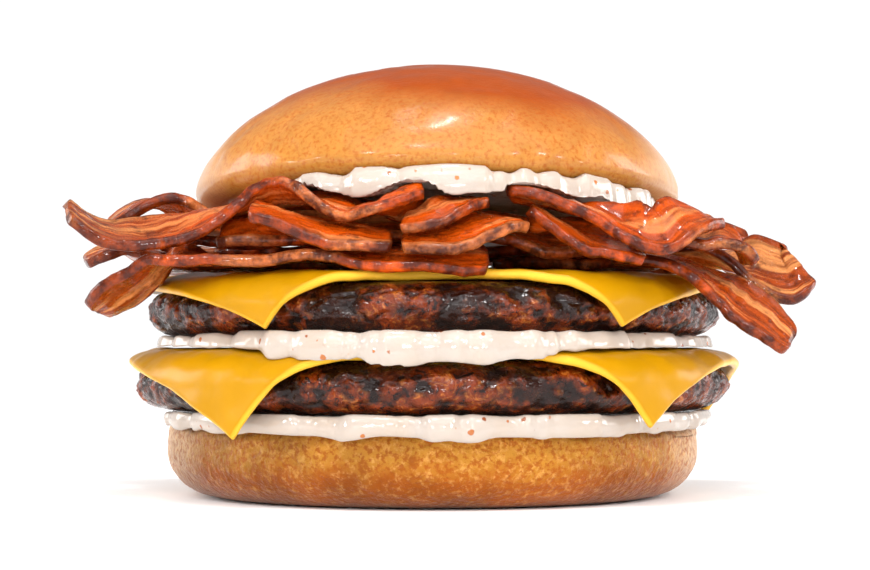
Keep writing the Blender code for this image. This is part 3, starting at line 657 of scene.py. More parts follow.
def shown_crown(dents):
    """The crown bun in fine rings, its skin softly dimpled."""
    rise = CROWN_HEIGHT - CROWN_WIDEST
    inner = CROWN_RADIUS - CROWN_RIM_ROUND
    profile = []
    for i in range(60):
        angle = math.radians(90.0 * i / 60.0)
        height = CROWN_WIDEST + rise * math.cos(angle) ** 1.24
        profile.append((CROWN_RADIUS * math.sin(angle), height))
    profile += arc((inner, CROWN_WIDEST), (CROWN_RIM_ROUND, CROWN_WIDEST), 0, -90, 14)
    profile += line((inner * 0.9, 0), (0, 0), 6)
    profile.append((0, 0))

    def place(radius, height, azimuth, ring):
        point = crown_place(radius, height, azimuth, ring)
        soft = min(0.0, fractal(point + Vector((9.0, 0.0, 0.0)), 7.0, 2))
        share = min(1.0, height / CROWN_WIDEST)
        return point * (1.0 + dents * share * soft / CROWN_RADIUS)

    bm = lathed(profile, BUN_SEGMENTS, place)
    bmesh.ops.transform(bm, matrix=crown_matrix(), verts=bm.verts)
    return bm


def crag(point, depth):
    """How far a crumb of minced beef stands back from the edge, and a mark of how deep its clefts and
    hollows lie, which the material turns into painted shade.
    """
    bent = point + noise.noise_vector(point / 2.6) * 1.3
    near = noise.voronoi(bent / 4.4)[0]
    crack_and_shade = max(0.0, 1.0 - (near[1] - near[0]) / 0.30)
    rough = 0.5 + 0.5 * fractal(point, 2.8, 4)
    grit = 0.5 + 0.5 * fractal(point + Vector((7.0, 0.0, 0.0)), 0.9, 2)
    torn = max(0.0, fractal(point + Vector((0.0, 31.0, 0.0)), 8.5, 2))
    back = depth * (0.20 * crack_and_shade ** 1.3 + 0.70 * rough + 0.20 * grit + 0.6 * torn)
    return back, min(1.0, 0.25 * crack_and_shade + 0.9 * max(0.0, rough) ** 2 + 0.4 * torn)


def shown_patty(radius, middle, seed, depth):
    """A seared patty whose edge breaks up into crumbs with cracks between them."""
    inner = radius - PATTY_EDGE
    top = middle + PATTY_HALF_HEIGHT
    bottom = middle - PATTY_HALF_HEIGHT
    profile = line((0, top), (inner, top), 6)
    profile += arc((inner, middle), (PATTY_EDGE, PATTY_HALF_HEIGHT), 90, -90, 52)
    profile += line((inner * 0.95, bottom), (0, bottom), 6)
    profile.append((0, bottom))
    rings = len(profile) - 1
    segments = PATTY_SEGMENTS
    points = np.zeros((rings + 1, segments, 3))
    # Marks of how deep each hollow lies, which the beef's material turns into painted shade.
    cracks = np.zeros((rings + 1, segments))
    noise.seed_set(CRUMB_SEED)  # without a seed, noise_vector differs from run to run
    for ring, (ring_radius, height) in enumerate(profile):
        share = max(0.0, ring_radius - inner) / PATTY_EDGE
        for column in range(segments):
            azimuth = 360.0 * column / segments
            point = polar(ring_radius, azimuth, height)
            away = Vector((point.x, point.y, (height - middle) * 3.0)).normalized()
            lump = noise.noise(point / 7.0 + Vector((seed, 0.0, 0.0)))
            broad = noise.noise(point / 21.0 + Vector((0.0, seed, 0.0)))
            move = PATTY_RELIEF * (lump + 1.4 * broad - 0.2)
            if share > 0.0:
                back, crack_and_shade = crag(point + Vector((0.0, 0.0, 100.0 * seed)), depth)
                move -= back
                cracks[ring, column] = crack_and_shade
            points[ring, column] = point + away * share * move
    return wrapped(points, {"crack_and_shade": cracks})


def shown_sauce(rows, marks, seed, floor, ceiling, lobes):
    """A sauce layer with a smooth lobed bead, as rings of a closed form."""
    segments = SAUCE_SEGMENTS
    drooping = (0.0, 0.0, 0.0, 0.0, 0.1, 0.5, 1.0, 0.8, 0.2, 0.0, 0.0)
    coarse = np.zeros((len(marks), segments, 3))
    for column in range(segments):
        azimuth = 360.0 * column / segments
        signed = azimuth - 360.0 if azimuth > 180.0 else azimuth
        outer = by_azimuth(rows, signed, 1)
        droop = by_azimuth(rows, signed, 2)
        lobe = noise.noise(polar(3.2, azimuth, seed))
        rim = polar(outer, azimuth, seed * 7.0)
        fine = lobes * min(0.0, 1.1 * noise.noise(rim / 4.6) + 0.6 * noise.noise(rim / 2.0) - 0.15)
        drop = lobes * max(0.0, noise.noise(rim / 4.1 + Vector((0.0, 0.0, 50.0))))
        for ring, (across, level) in enumerate(marks):
            if ring not in (0, 1, 9, 10):
                across += outer + 0.5 * lobe
            if ring in (3, 4, 5, 6, 7):
                across += fine
            level -= drooping[ring] * (droop + 0.7 * drop) - (0.4 * fine if ring in (2, 3, 4) else 0.0)
            if ring > 4:
                level = max(level, floor(across, signed) + GAP)
            if ring < 6:
                level = min(level, ceiling(across, signed) - GAP)
            coarse[ring, column] = polar(across, azimuth, level)
    places = np.array(graded(range(11), (2, 4, 6, 8, 7, 7, 8, 6, 4, 2)))
    points = catmull(coarse, places)
    return points


def rest_sauce(points, heap):
    """Presses the underside of the top sauce up, softly, where the heap stands against it."""
    heap = np.maximum(heap, 36.0)
    for pick in (np.max, np.mean, np.mean):
        around = [np.roll(heap, (i, j), (0, 1)) for i in (-1, 0, 1) for j in (-1, 0, 1)]
        heap = pick(np.array(around), axis=0)
    half = len(points) // 2
    for ring in range(half, len(points)):
        for column in range(points.shape[1]):
            x, y, z = points[ring, column]
            points[ring, column, 2] = max(z, heap[cell_of(x), cell_of(y)] + GAP)
    return points


def shown_cheese(slice_shape, radius, middle, seed, sag):
    """A melted slice as a closed pill: its top, a rounded rim and its underside."""
    corners, sides = slice_shape
    segments = CHEESE_SEGMENTS
    half = CHEESE_THICKNESS / 2.0
    share = np.array(graded((0.0, 0.72, 1.0), (8, 34)))
    rim = [(math.sin(a), math.cos(a)) for a in np.radians(np.linspace(0, 180, 11))]
    rings = [(s, 0.0, 1.0) for s in share[:-1]]
    rings += [(1.0, out, side) for out, side in rim]
    rings += [(s, 0.0, -1.0) for s in share[-2::-1]]
    points = np.zeros((len(rings), segments, 3))
    edges = np.zeros((len(rings), segments))
    for column in range(segments):
        psi = 360.0 * column / segments
        azimuth, reach = cheese_reach(corners, sides, psi)
        inner = reach - half
        for ring, (s, out, side) in enumerate(rings):
            distance = inner * s + half * out
            points[ring, column] = cheese_skin(distance, azimuth, radius, middle, seed, side * half, sag)
            # How near a point lies to the rim, which sets the painted highlight there.
            edges[ring, column] = max(0.0, 1.0 - (reach - distance) / 1.6)
    return wrapped(points, {"edge": edges})


def cheese_skin(distance, azimuth, radius, middle, seed, offset, sag):
    """A point on the skin of the slice, offset square to its middle surface."""
    here = cheese_point(distance, azimuth, radius, middle, seed)
    out = cheese_point(distance + 0.2, azimuth, radius, middle, seed) - here
    round_it = cheese_point(distance, azimuth + 0.4, radius, middle, seed) - here
    normal = round_it.cross(out)
    if normal.length < 1e-9:
        normal = Vector((0.0, 0.0, 1.0))
    normal.normalize()
    if normal.dot(Vector((here.x, here.y, 30.0))) < 0.0:
        normal.negate()
    past = max(0.0, min(1.0, (distance - radius + PATTY_EDGE + 4.0) / 6.0))
    wave = sag * past * (fractal(here, 6.5, 2) - 0.4)
    return here + normal * (offset + wave)


@functools.cache
def laid_strips():
    """Coarse middle surface of every strip as it lies in the heap, and the heap's height."""
    field = upper_cheese_field()
    half = BACON_THICKNESS / 2.0
    laid = []
    for number, (name, width, stations) in enumerate(STRIPS):
        cells = max(6, round(run_length(stations) / BACON_CELL))
        sheet = strip_sheet(stations, width, cells, BACON_CELLS_ACROSS, number * 1.7)
        sheet = rest_on(field, sheet, half)
        raise_field(field, sheet, half + 0.25)
        laid.append((name, width, sheet))
    return laid, field


def strip_outline(width):
    """Section of a strip: share across, side (1 top, -1 bottom) for each point round it."""
    edge = 0.9 / width
    across = max(14, round(width / STRIP_STEP_ACROSS))
    flat = np.linspace(edge, 1.0 - edge, across)
    turn = np.radians(np.linspace(90.0, 0.0, 6)[1:-1])
    front = [(edge * (1.0 - math.cos(a)), math.sin(a)) for a in turn]
    back = [(1.0 - share, side) for share, side in reversed(front)]
    top = front[::-1] + [(share, 1.0) for share in flat] + back[::-1]
    bottom = [(share, -side) for share, side in reversed(top)]
    return np.array([(0.0, 0.0)] + top + [(1.0, 0.0)] + bottom)


def sheet_at(sheet, along, across):
    """Points of a coarse sheet at fractional rows and columns."""
    rows = catmull(sheet, along)
    return np.swapaxes(catmull(np.swapaxes(rows, 0, 1), across), 0, 1)


def strip_relief(u, v, seed, ripple):
    """Heights of the ripples and the lengthwise streaks at a place on a strip."""
    wrinkle = noise.noise(Vector((u / 2.1, v / 6.0, seed)))
    grain = noise.noise(Vector((u / 0.9, v / 1.1, seed + 5.0)))
    streak = noise.noise(Vector((u / 24.0, v / 2.3, seed + 9.0)))
    return ripple * (0.8 * wrinkle + 0.3 * grain + 0.6 * streak), streak


def strip_rows(rows, length):
    """Rows of a skin along a strip with rounded ends, and how full its section is there."""
    cap = STRIP_END_ROUND / length * rows
    body = np.linspace(cap, rows - cap, max(20, round(length / STRIP_STEP)))
    caps = [(0.0, 0.0), (0.0, 0.35), (0.0, 0.62), (0.25, 0.84), (0.6, 0.96)]
    along = [s * cap for s, _ in caps] + list(body) + [rows - s * cap for s, _ in caps[::-1]]
    full = [g for _, g in caps] + [1.0] * len(body) + [g for _, g in caps[::-1]]
    return np.array(along), np.array(full)


def sheet_frame(sheet, along, across):
    """Points of a sheet, with its upward normals and its directions across."""
    middle = sheet_at(sheet, along, across)
    d_along = sheet_at(sheet, along + 0.1, across) - sheet_at(sheet, along - 0.1, across)
    d_across = sheet_at(sheet, along, across + 0.1) - sheet_at(sheet, along, across - 0.1)
    normal = np.cross(d_along, d_across)
    normal /= np.linalg.norm(normal, axis=2)[:, :, None]
    normal[normal[:, :, 2] < 0.0] *= -1.0
    return middle, normal, d_across / np.linalg.norm(d_across, axis=2)[:, :, None]


def shown_strip(sheet, width, seed, ripple):
    """A fried strip as a closed pill: thin in the middle, thick and crisp at its rims."""
    outline = strip_outline(width)
    rows = sheet.shape[0] - 1
    length = np.linalg.norm(np.diff(sheet[:, 1], axis=0), axis=1).sum()
    along, full = strip_rows(rows, length)
    share = outline[:, 0]
    middle, normal, sideways = sheet_frame(sheet, along, share * (sheet.shape[1] - 1))
    centre = middle.mean(axis=1)
    inset = np.minimum(share, 1.0 - share) * width
    rim = np.exp(-(inset / 1.15) ** 2)
    points = np.zeros(middle.shape)
    marks = {name: np.zeros(middle.shape[:2]) for name in ("rim", "fat", "along", "across")}
    for i in range(len(along)):
        u = along[i] / rows * length
        jag = 0.42 * noise.noise(Vector((u / 1.7, 3.0, seed)))
        jag_back = 0.42 * noise.noise(Vector((u / 1.7, 13.0, seed)))
        for j, (s, side) in enumerate(outline):
            v = s * width
            relief, streak = strip_relief(u, v, seed, ripple)
            crisp = 0.5 + 0.5 * noise.noise(Vector((u / 3.0, v / 3.0, seed + 21.0)))
            half = BACON_THICKNESS / 2.0 * (0.74 + (0.26 + 0.3 * crisp) * rim[j])
            push = (jag if s < 0.5 else -jag_back) * rim[j]
            point = middle[i, j] + normal[i, j] * (side * half + relief * min(1.0, inset[j] / 1.5))
            point = point + sideways[i, j] * push
            points[i, j] = centre[i] + (point - centre[i]) * full[i]
            marks["rim"][i, j] = max(rim[j], 1.0 - min(u, length - u) / 1.2)
            marks["fat"][i, j] = streak
            marks["along"][i, j] = u
            marks["across"][i, j] = v
    return wrapped(points, marks)


def linear(colour):
    """An sRGB hex colour as linear red, green, blue and alpha."""
    parts = [int(colour[i:i + 2], 16) / 255.0 for i in (1, 3, 5)]
    return tuple(c / 12.92 if c <= 0.04045 else ((c + 0.055) / 1.055) ** 2.4 for c in parts) + (1.0,)


def opaque(colour):
    return (*colour, 1.0)


def add(tree, kind, sockets=None, stops=None, **settings):
    """Adds a node with its settings; sockets take a value or another node's output."""
    node = tree.nodes.new(kind)
    for name, value in settings.items():
        setattr(node, name, value)
    for name, value in (sockets or {}).items():
        if isinstance(value, bpy.types.NodeSocket):
            tree.links.new(value, node.inputs[name])
        else:
            node.inputs[name].default_value = value
    if stops:
        ramp = node.color_ramp.elements
        while len(ramp) < len(stops):
            ramp.new(0.5)
        for mark, (place, colour) in zip(ramp, stops):
            mark.position = place
            mark.color = colour
    return node


def new_look(name, **constants):
    """A material whose Principled shader holds the given values, and its object coordinates."""
    material = bpy.data.materials.new(name)
    material.use_nodes = True
    tree = material.node_tree
    shader = tree.nodes["Principled BSDF"]
    for socket, value in constants.items():
        shader.inputs[socket.replace("_", " ")].default_value = value
    return material, tree, shader, add(tree, "ShaderNodeTexCoord").outputs["Object"]


def mixed(tree, share, first, second, how="MIX"):
    """Output of a colour mix; each input is a colour or another output."""
    node = add(tree, "ShaderNodeMix", {0: share, 6: first, 7: second}, data_type="RGBA", blend_type=how)
    return node.outputs[2]


def ranged(tree, value, low, high, start=0.0, end=1.0):
    """A value mapped from one range to another and held at its ends."""
    sockets = {"Value": value, "From Min": low, "From Max": high, "To Min": start, "To Max": end}
    return add(tree, "ShaderNodeMapRange", sockets).outputs[0]


def noise_at(tree, place, size, detail=2.0, roughness=0.5, warp=0.0):
    """A noise whose features have the given size in metres."""
    sockets = {"Vector": place, "Scale": 1.0 / size, "Detail": detail,
               "Roughness": roughness, "Distortion": warp}
    return add(tree, "ShaderNodeTexNoise", sockets).outputs["Fac"]


def finished(tree, shader, base, heights, wet=None):
    """Links colour, bumps (height output, strength, depth in metres) and wetness to the shader."""
    tree.links.new(base, shader.inputs["Base Color"])
    if wet is not None:
        tree.links.new(wet, shader.inputs["Roughness"])
    last = None
    for height, strength, depth in heights:
        sockets = {"Height": height, "Strength": strength, "Distance": depth}
        if last is not None:
            sockets["Normal"] = last
        last = add(tree, "ShaderNodeBump", sockets).outputs[0]
    if last is not None:
        tree.links.new(last, shader.inputs["Normal"])


def browned(tree, place, height, blotch, reach, span, stops):
    """Crust colour by height, its borders shifted up and down by blotches of a given size."""
    shift = add(tree, "ShaderNodeMath", {0: noise_at(tree, place, *blotch), 1: 0.5}, operation="SUBTRACT")
    moved = add(tree, "ShaderNodeMath", {0: shift.outputs[0], 1: reach, 2: height}, operation="MULTIPLY_ADD")
    share = ranged(tree, moved.outputs[0], *span)
    marks = [(mark, opaque(colour)) for mark, colour in stops]
    return add(tree, "ShaderNodeValToRGB", {0: share}, marks).outputs[0]


def crown_look(colours):
    """Egg-washed bun skin: a thin glossy glaze over browned crust, darkest on top, with painted light that
    makes its -X side paler and its +X side darker, and a painted sheen at its left and right rims.
    """
    constants = {"Roughness": 0.30, "IOR": 1.40, "Specular_IOR_Level": 0.15,
                 "Coat_Weight": 0.2, "Coat_Roughness": 0.16}
    material, tree, shader, place = new_look("glazed_bun_skin", **constants)
    parts = add(tree, "ShaderNodeSeparateXYZ", {0: place})
    # Painted light: the height that picks the colour leans with X, so the -X side reads paler and the +X
    # side darker.
    height = add(tree, "ShaderNodeMath", {0: parts.outputs["X"], 1: 0.10, 2: parts.outputs["Z"]},
                 operation="MULTIPLY_ADD").outputs[0]
    stops = [(0.0, colours.crown_low), (0.25, colours.crown_low), (0.48, colours.crown_side),
             (0.80, colours.crown_top), (1.0, colours.crown_top)]
    base = browned(tree, place, height, (0.022, 3.0), 0.016, (0.050, 0.0755), stops)
    mottle = ranged(tree, noise_at(tree, place, 0.0035, 4.0), 0.3, 0.7, 0.90, 1.07)
    base = mixed(tree, 1.0, base, mottle, "MULTIPLY")
    pores = noise_at(tree, place, 0.0007, 3.0, 0.6)
    base = mixed(tree, ranged(tree, pores, 0.32, 0.52, 0.6, 0.0), base, opaque(colours.crown_top))
    # Painted sheen: a pale tint towards the crown's left and right rims, by distance out in X.
    sideways = add(tree, "ShaderNodeMath", {0: parts.outputs["X"]}, operation="ABSOLUTE").outputs[0]
    base = mixed(tree, ranged(tree, sideways, 0.034, 0.0434, 0.0, 0.45), base, linear(SHEEN_PAINT_PALE))
    finished(tree, shader, base, [(noise_at(tree, place, 0.004, 3.0), 0.35, 0.0003), (pores, 0.5, 0.00016)])
    return material


def heel_look(colours):
    """Dry baked crust of the lower bun: pebbly, golden above and darker at the foot, with painted shade
    towards its left and right and a painted sheen at its left and right ends.
    """
    constants = {"Roughness": 0.45, "IOR": 1.42, "Specular_IOR_Level": 0.15,
                 "Sheen_Weight": 0.12, "Sheen_Roughness": 0.4}
    material, tree, shader, place = new_look("baked_bun_crust", **constants)
    parts = add(tree, "ShaderNodeSeparateXYZ", {0: place})
    stops = [(0.0, colours.heel_foot), (0.30, colours.heel_foot), (0.62, colours.heel_middle),
             (1.0, colours.heel_top)]
    base = browned(tree, place, parts.outputs["Z"], (0.009, 4.0), 0.010, (0.0, 0.0133), stops)
    sideways = add(tree, "ShaderNodeMath", {0: parts.outputs["X"]}, operation="ABSOLUTE").outputs[0]
    # Painted shade: the crust darkens towards the left and right, from 20 mm out in X and fully beyond 34
    # mm.
    base = mixed(tree, 1.0, base, ranged(tree, sideways, 0.020, 0.034, 1.0, 0.78), "MULTIPLY")
    # Painted sheen: a pale tint at the heel's left and right ends, by distance out in X.
    heel_end_sheen = ranged(tree, sideways, 0.038, 0.047, 0.0, 0.55)
    base = mixed(tree, heel_end_sheen, base, linear(SHEEN_PAINT_PALE))
    grains = add(tree, "ShaderNodeTexVoronoi", {"Vector": place, "Scale": 1.0 / 0.0011}).outputs["Distance"]
    dust = ranged(tree, noise_at(tree, place, 0.0011, 4.0, 0.7), 0.50, 0.66, 0.0, 0.35)
    base = mixed(tree, dust, base, linear(CRUMB_GOLD))
    pits = noise_at(tree, place, 0.0009, 4.0, 0.65)
    base = mixed(tree, ranged(tree, pits, 0.40, 0.53, 0.85, 0.0), base, opaque(colours.heel_foot))
    shade = ranged(tree, noise_at(tree, place, 0.016, 3.0), 0.38, 0.6, 0.72, 1.12)
    base = mixed(tree, 1.0, base, shade, "MULTIPLY")
    finished(tree, shader, base, [(noise_at(tree, place, 0.0022, 4.0, 0.6), 0.8, 0.0007),
                                  (grains, 0.5, 0.0003), (pits, 0.8, 0.0003)])
    return material


def beef_look(colours):
    """Seared minced beef: brown crumbs wet with fat, with painted shade that turns its clefts and hollows
    near-black.
    """
    constants = {"IOR": 1.45, "Specular_IOR_Level": 0.1, "Coat_Weight": 0.35, "Coat_Roughness": 0.14}
    material, tree, shader, place = new_look("seared_beef", **constants)
    crack_and_shade = add(tree, "ShaderNodeAttribute", attribute_name="crack_and_shade").outputs["Fac"]
    grain = noise_at(tree, place, 0.0021, 6.0, 0.7, 1.2)
    stops = [(0.38, opaque(colours.beef_dark)), (0.46, opaque(colours.beef_brown)),
             (0.54, opaque(colours.beef_brown)), (0.64, opaque(colours.beef_pale))]
    base = add(tree, "ShaderNodeValToRGB", {0: grain}, stops).outputs[0]
    patches = ranged(tree, noise_at(tree, place, 0.010, 5.0, 0.65), 0.47, 0.56, 0.0, 0.92)
    base = mixed(tree, patches, base, opaque(colours.beef_dark))
    # Painted shade: the clefts and hollows of the edge are darkened by their mark.
    base = mixed(tree, ranged(tree, crack_and_shade, 0.25, 0.75), base, opaque(colours.beef_dark))
    wet = ranged(tree, noise_at(tree, place, 0.003, 3.0), 0.42, 0.62, 0.12, 0.45)
    finished(tree, shader, base, [(noise_at(tree, place, 0.0024, 4.0, 0.6, 0.8), 0.9, 0.0014),
                                  (noise_at(tree, place, 0.0009, 3.0), 0.5, 0.0004)], wet)
    return material


def cheese_look(colours):
    """Melted processed cheese: smooth, slightly translucent, with a painted highlight as a paler band along
    its rim.
    """
    constants = {"Roughness": 0.33, "IOR": 1.45, "Specular_IOR_Level": 0.15,
                 "Subsurface_Weight": 0.05, "Subsurface_Scale": 0.002}
    material, tree, shader, place = new_look("melted_cheese", **constants)
    shader.inputs["Subsurface Radius"].default_value = (1.0, 0.6, 0.15)
    edge = add(tree, "ShaderNodeAttribute", attribute_name="edge").outputs["Fac"]
    tone = ranged(tree, noise_at(tree, place, 0.008, 3.0), 0.3, 0.7, 0.90, 1.04)
    base = mixed(tree, 1.0, opaque(colours.cheese_body), tone, "MULTIPLY")
    # Painted highlight: a paler band along the slice's rim.
    base = mixed(tree, ranged(tree, edge, 0.55, 1.0, 0.0, 0.8), base, opaque(colours.cheese_rim_highlight))
    finished(tree, shader, base, [(noise_at(tree, place, 0.0045, 2.0), 0.30, 0.0004),
                                  (noise_at(tree, place, 0.0008, 3.0), 0.15, 0.0001)])
    return material


def sauce_look(colours):
    """White burger sauce: creamy and glossy, with small orange-brown flecks of spice."""
    constants = {"Roughness": 0.14, "IOR": 1.46, "Specular_IOR_Level": 0.6,
                 "Subsurface_Weight": 0.15, "Subsurface_Scale": 0.0015}
    material, tree, shader, place = new_look("white_sauce", **constants)
    shader.inputs["Subsurface Radius"].default_value = (1.0, 0.8, 0.6)
    warp = add(tree, "ShaderNodeTexNoise", {"Vector": place, "Scale": 900.0, "Detail": 2.0}).outputs["Color"]
    sockets = {0: warp, 1: (FLECK_BEND,) * 3, 2: place}
    bent = add(tree, "ShaderNodeVectorMath", sockets, operation="MULTIPLY_ADD")
    cells = add(tree, "ShaderNodeTexVoronoi", {"Vector": bent.outputs[0], "Scale": 1.0 / 0.0021})
    chance = add(tree, "ShaderNodeSeparateColor", {0: cells.outputs["Color"]})
    size = ranged(tree, chance.outputs[0], 0.35, 1.0, 0.0, 0.27)
    near = add(tree, "ShaderNodeMath", {0: size, 1: cells.outputs["Distance"]},
               operation="SUBTRACT").outputs[0]
    fleck = ranged(tree, near, 0.0, 0.07)
    tint = mixed(tree, chance.outputs[1], opaque(colours.sauce_fleck), linear(SAUCE_SPICE))
    soft = ranged(tree, noise_at(tree, place, 0.006, 3.0), 0.35, 0.7, 0.0, 0.3)
    base = mixed(tree, soft, opaque(colours.sauce_white), linear(SAUCE_CREAM))
    base = mixed(tree, fleck, base, tint)
    finished(tree, shader, base, [(noise_at(tree, place, 0.0022, 3.0), 0.35, 0.0004), (fleck, 0.3, 0.00015)])
    return material


def bacon_look(colours):
    """Fried cured pork: translucent red lean, pale fat streaks, dark crisp rims, oily."""
    constants = {"IOR": 1.40, "Specular_IOR_Level": 0.1, "Coat_Weight": 0.35, "Coat_Roughness": 0.12,
                 "Subsurface_Weight": 0.06, "Subsurface_Scale": 0.0015}
    material, tree, shader, place = new_look("fried_bacon", **constants)
    shader.inputs["Subsurface Radius"].default_value = (1.0, 0.35, 0.2)
    read = {name: add(tree, "ShaderNodeAttribute", attribute_name=name).outputs["Fac"]
            for name in ("rim", "fat", "along", "across")}
    sideways = add(tree, "ShaderNodeSeparateXYZ", {0: place}).outputs["X"]
    outer = add(tree, "ShaderNodeMath", {0: sideways}, operation="ABSOLUTE").outputs[0]
    along = add(tree, "ShaderNodeMath", {0: read["along"], 1: 0.05}, operation="MULTIPLY").outputs[0]
    across = add(tree, "ShaderNodeMath", {0: read["across"], 1: 0.55}, operation="MULTIPLY").outputs[0]
    flow = add(tree, "ShaderNodeCombineXYZ", {0: along, 1: across, 2: 0.0}).outputs[0]
    fibres = noise_at(tree, flow, 0.5, 4.0, 0.5, 0.5)
    streak = add(tree, "ShaderNodeMath", {0: read["fat"], 1: fibres}, operation="ADD").outputs[0]
    pale = ranged(tree, streak, 0.55, 0.78)
    ends = ranged(tree, outer, 0.040, 0.060, 0.45, 0.7)
    pale = add(tree, "ShaderNodeMath", {0: pale, 1: ends}, operation="MULTIPLY").outputs[0]
    lean = mixed(tree, ranged(tree, outer, 0.030, 0.055), opaque(colours.bacon_meat), linear(BACON_PINK))
    base = mixed(tree, pale, lean, opaque(colours.bacon_fat))
    tone = ranged(tree, fibres, 0.32, 0.68, 0.55, 1.30)
    base = mixed(tree, 1.0, base, tone, "MULTIPLY")
    scorch = noise_at(tree, place, 0.0028, 4.0, 0.65)
    patch = ranged(tree, scorch, 0.54, 0.68, 0.0, 0.7)
    base = mixed(tree, patch, base, opaque(colours.bacon_char))
    crisp = ranged(tree, read["rim"], 0.25, 0.95)
    broken = ranged(tree, scorch, 0.34, 0.58, 0.05, 0.9)
    burnt = add(tree, "ShaderNodeMath", {0: crisp, 1: broken}, operation="MULTIPLY").outputs[0]
    base = mixed(tree, burnt, base, opaque(colours.bacon_char))
    wet = ranged(tree, noise_at(tree, place, 0.0024, 3.0), 0.38, 0.6, 0.12, 0.45)
    finished(tree, shader, base, [(noise_at(tree, place, 0.0018, 4.0, 0.6), 0.8, 0.0008),
                                  (fibres, 0.4, 0.0003),
                                  (noise_at(tree, place, 0.0007, 2.0), 0.4, 0.0002)], wet)
    return material


def floor_look():
    """Matt white studio paper."""
    material, tree, shader, place = new_look("studio_paper", Roughness=0.9, IOR=1.3)
    grain = ranged(tree, noise_at(tree, place, 0.02, 2.0), 0.3, 0.7, 0.99, 1.0)
    base = mixed(tree, 1.0, linear(FLOOR_WHITE), grain, "MULTIPLY")
    finished(tree, shader, base, [])
    return material


def colour_setting(name, description, default):
    return bpy.props.FloatVectorProperty(name=name, description=description, subtype="COLOR",
                                         default=linear(default)[:3], min=0.0, max=1.0)


def length_setting(name, description, default):
    return bpy.props.FloatProperty(name=name, description=description, unit="LENGTH",
                                   default=default, min=0.0, max=0.004)


class BurgerShape(bpy.types.PropertyGroup):
    """Depths of the small forms that the solids leave out."""
    bun_dents: length_setting("Bun dents", "How deep the creases in the bun's crust are", 0.0005)
    beef_crag: length_setting("Beef crag", "How deep the cracks in the patty's edge are", 0.0016)
    sauce_lobes: length_setting("Sauce lobes", "How far the bead of sauce steps in and out", 0.0012)
    cheese_sag: length_setting("Cheese sag", "How far the melted cheese sinks over the beef", 0.0004)
    bacon_ripple: length_setting("Bacon ripple", "How high the bacon's small wrinkles are", 0.0004)


class BurgerColours(bpy.types.PropertyGroup):
    """Colours of crust, beef, cheese, sauce and bacon."""
    crown_top: colour_setting("Crown top", "Browned skin on top of the bun", CROWN_TOP)
    crown_side: colour_setting("Crown side", "Skin half way down the bun", CROWN_SIDE)
    crown_low: colour_setting("Crown rim", "Pale skin near the cut", CROWN_LOW)
    heel_top: colour_setting("Heel top", "Crust at the upper edge", HEEL_TOP)
    heel_middle: colour_setting("Heel side", "Crust round the side", HEEL_MIDDLE)
    heel_foot: colour_setting("Heel foot", "Darker crust near the base", HEEL_FOOT)
    # Beef dark is also the colour of the painted shade in the patty's clefts and hollows.
    beef_dark: colour_setting("Beef dark", "Charred beef and cracks", BEEF_DARK)
    beef_brown: colour_setting("Beef brown", "Seared beef", BEEF_BROWN)
    beef_pale: colour_setting("Beef pale", "Less browned crumbs", BEEF_PALE)
    cheese_body: colour_setting("Cheese", "Melted slice", CHEESE_BODY)
    # Painted highlight: the paler colour along the slice's rim.
    cheese_rim_highlight: colour_setting("Cheese edge", "Cut edge of the slice", CHEESE_RIM_HIGHLIGHT)
    sauce_white: colour_setting("Sauce", "Creamy white sauce", SAUCE_WHITE)
    sauce_fleck: colour_setting("Sauce flecks", "Spice in the sauce", SAUCE_FLECK)
    bacon_meat: colour_setting("Bacon lean", "Lean meat", BACON_MEAT)
    bacon_fat: colour_setting("Bacon fat", "Pale fat", BACON_FAT)
    bacon_char: colour_setting("Bacon char", "Crisp dark rims", BACON_CHAR)


def add_piece(name, bm, material, node):
    """Puts a mesh drawn in millimetres into the scene as the shown form of a CAD node."""
    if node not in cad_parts:
        raise RuntimeError("no such node: " + node)
    bmesh.ops.transform(bm, matrix=Matrix.Scale(MM, 4), verts=bm.verts)
    for face in bm.faces:
        face.smooth = True
    mesh = bpy.data.meshes.new(name)
    bm.to_mesh(mesh)
    bm.free()
    mesh.materials.append(material)
    piece = bpy.data.objects.new(name, mesh)
    bpy.context.scene.collection.objects.link(piece)
    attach(piece, "root")
    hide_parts(node)
    return piece


class BURGER_OT_buns(bpy.types.Operator):
    """Add the glazed crown and the baked heel"""
    bl_idname = "burger.buns"
    bl_label = "Buns"

    def execute(self, context):
        shape = context.scene.burger_shape
        colours = context.scene.burger_colours
        dents = shape.bun_dents / MM
        add_piece("crown_bun", shown_crown(dents), crown_look(colours), "bun_crown")
        add_piece("heel_bun", shown_heel(dents), heel_look(colours), "bun_heel")
        return {"FINISHED"}


class BURGER_OT_patties(bpy.types.Operator):
    """Add the two seared patties"""
    bl_idname = "burger.patties"
    bl_label = "Patties"

    def execute(self, context):
        depth = context.scene.burger_shape.beef_crag / MM
        look = beef_look(context.scene.burger_colours)
        low = shown_patty(LOWER_PATTY_RADIUS, LOWER_PATTY_MIDDLE, 5.0, depth)
        add_piece("lower_patty", low, look, "patty_lower")
        high = shown_patty(UPPER_PATTY_RADIUS, UPPER_PATTY_MIDDLE, 11.0, depth)
        add_piece("upper_patty", high, look, "patty_upper")
        return {"FINISHED"}


class BURGER_OT_cheese(bpy.types.Operator):
    """Add the two melted cheese slices"""
    bl_idname = "burger.cheese"
    bl_label = "Cheese slices"

    def execute(self, context):
        sag = context.scene.burger_shape.cheese_sag / MM
        look = cheese_look(context.scene.burger_colours)
        low = shown_cheese(LOWER_CHEESE, LOWER_PATTY_RADIUS, LOWER_PATTY_MIDDLE, 7.0, sag)
        add_piece("lower_cheese", low, look, "cheese_lower")
        high = shown_cheese(UPPER_CHEESE, UPPER_PATTY_RADIUS, UPPER_PATTY_MIDDLE, 3.0, sag)
        add_piece("upper_cheese", high, look, "cheese_upper")
        return {"FINISHED"}


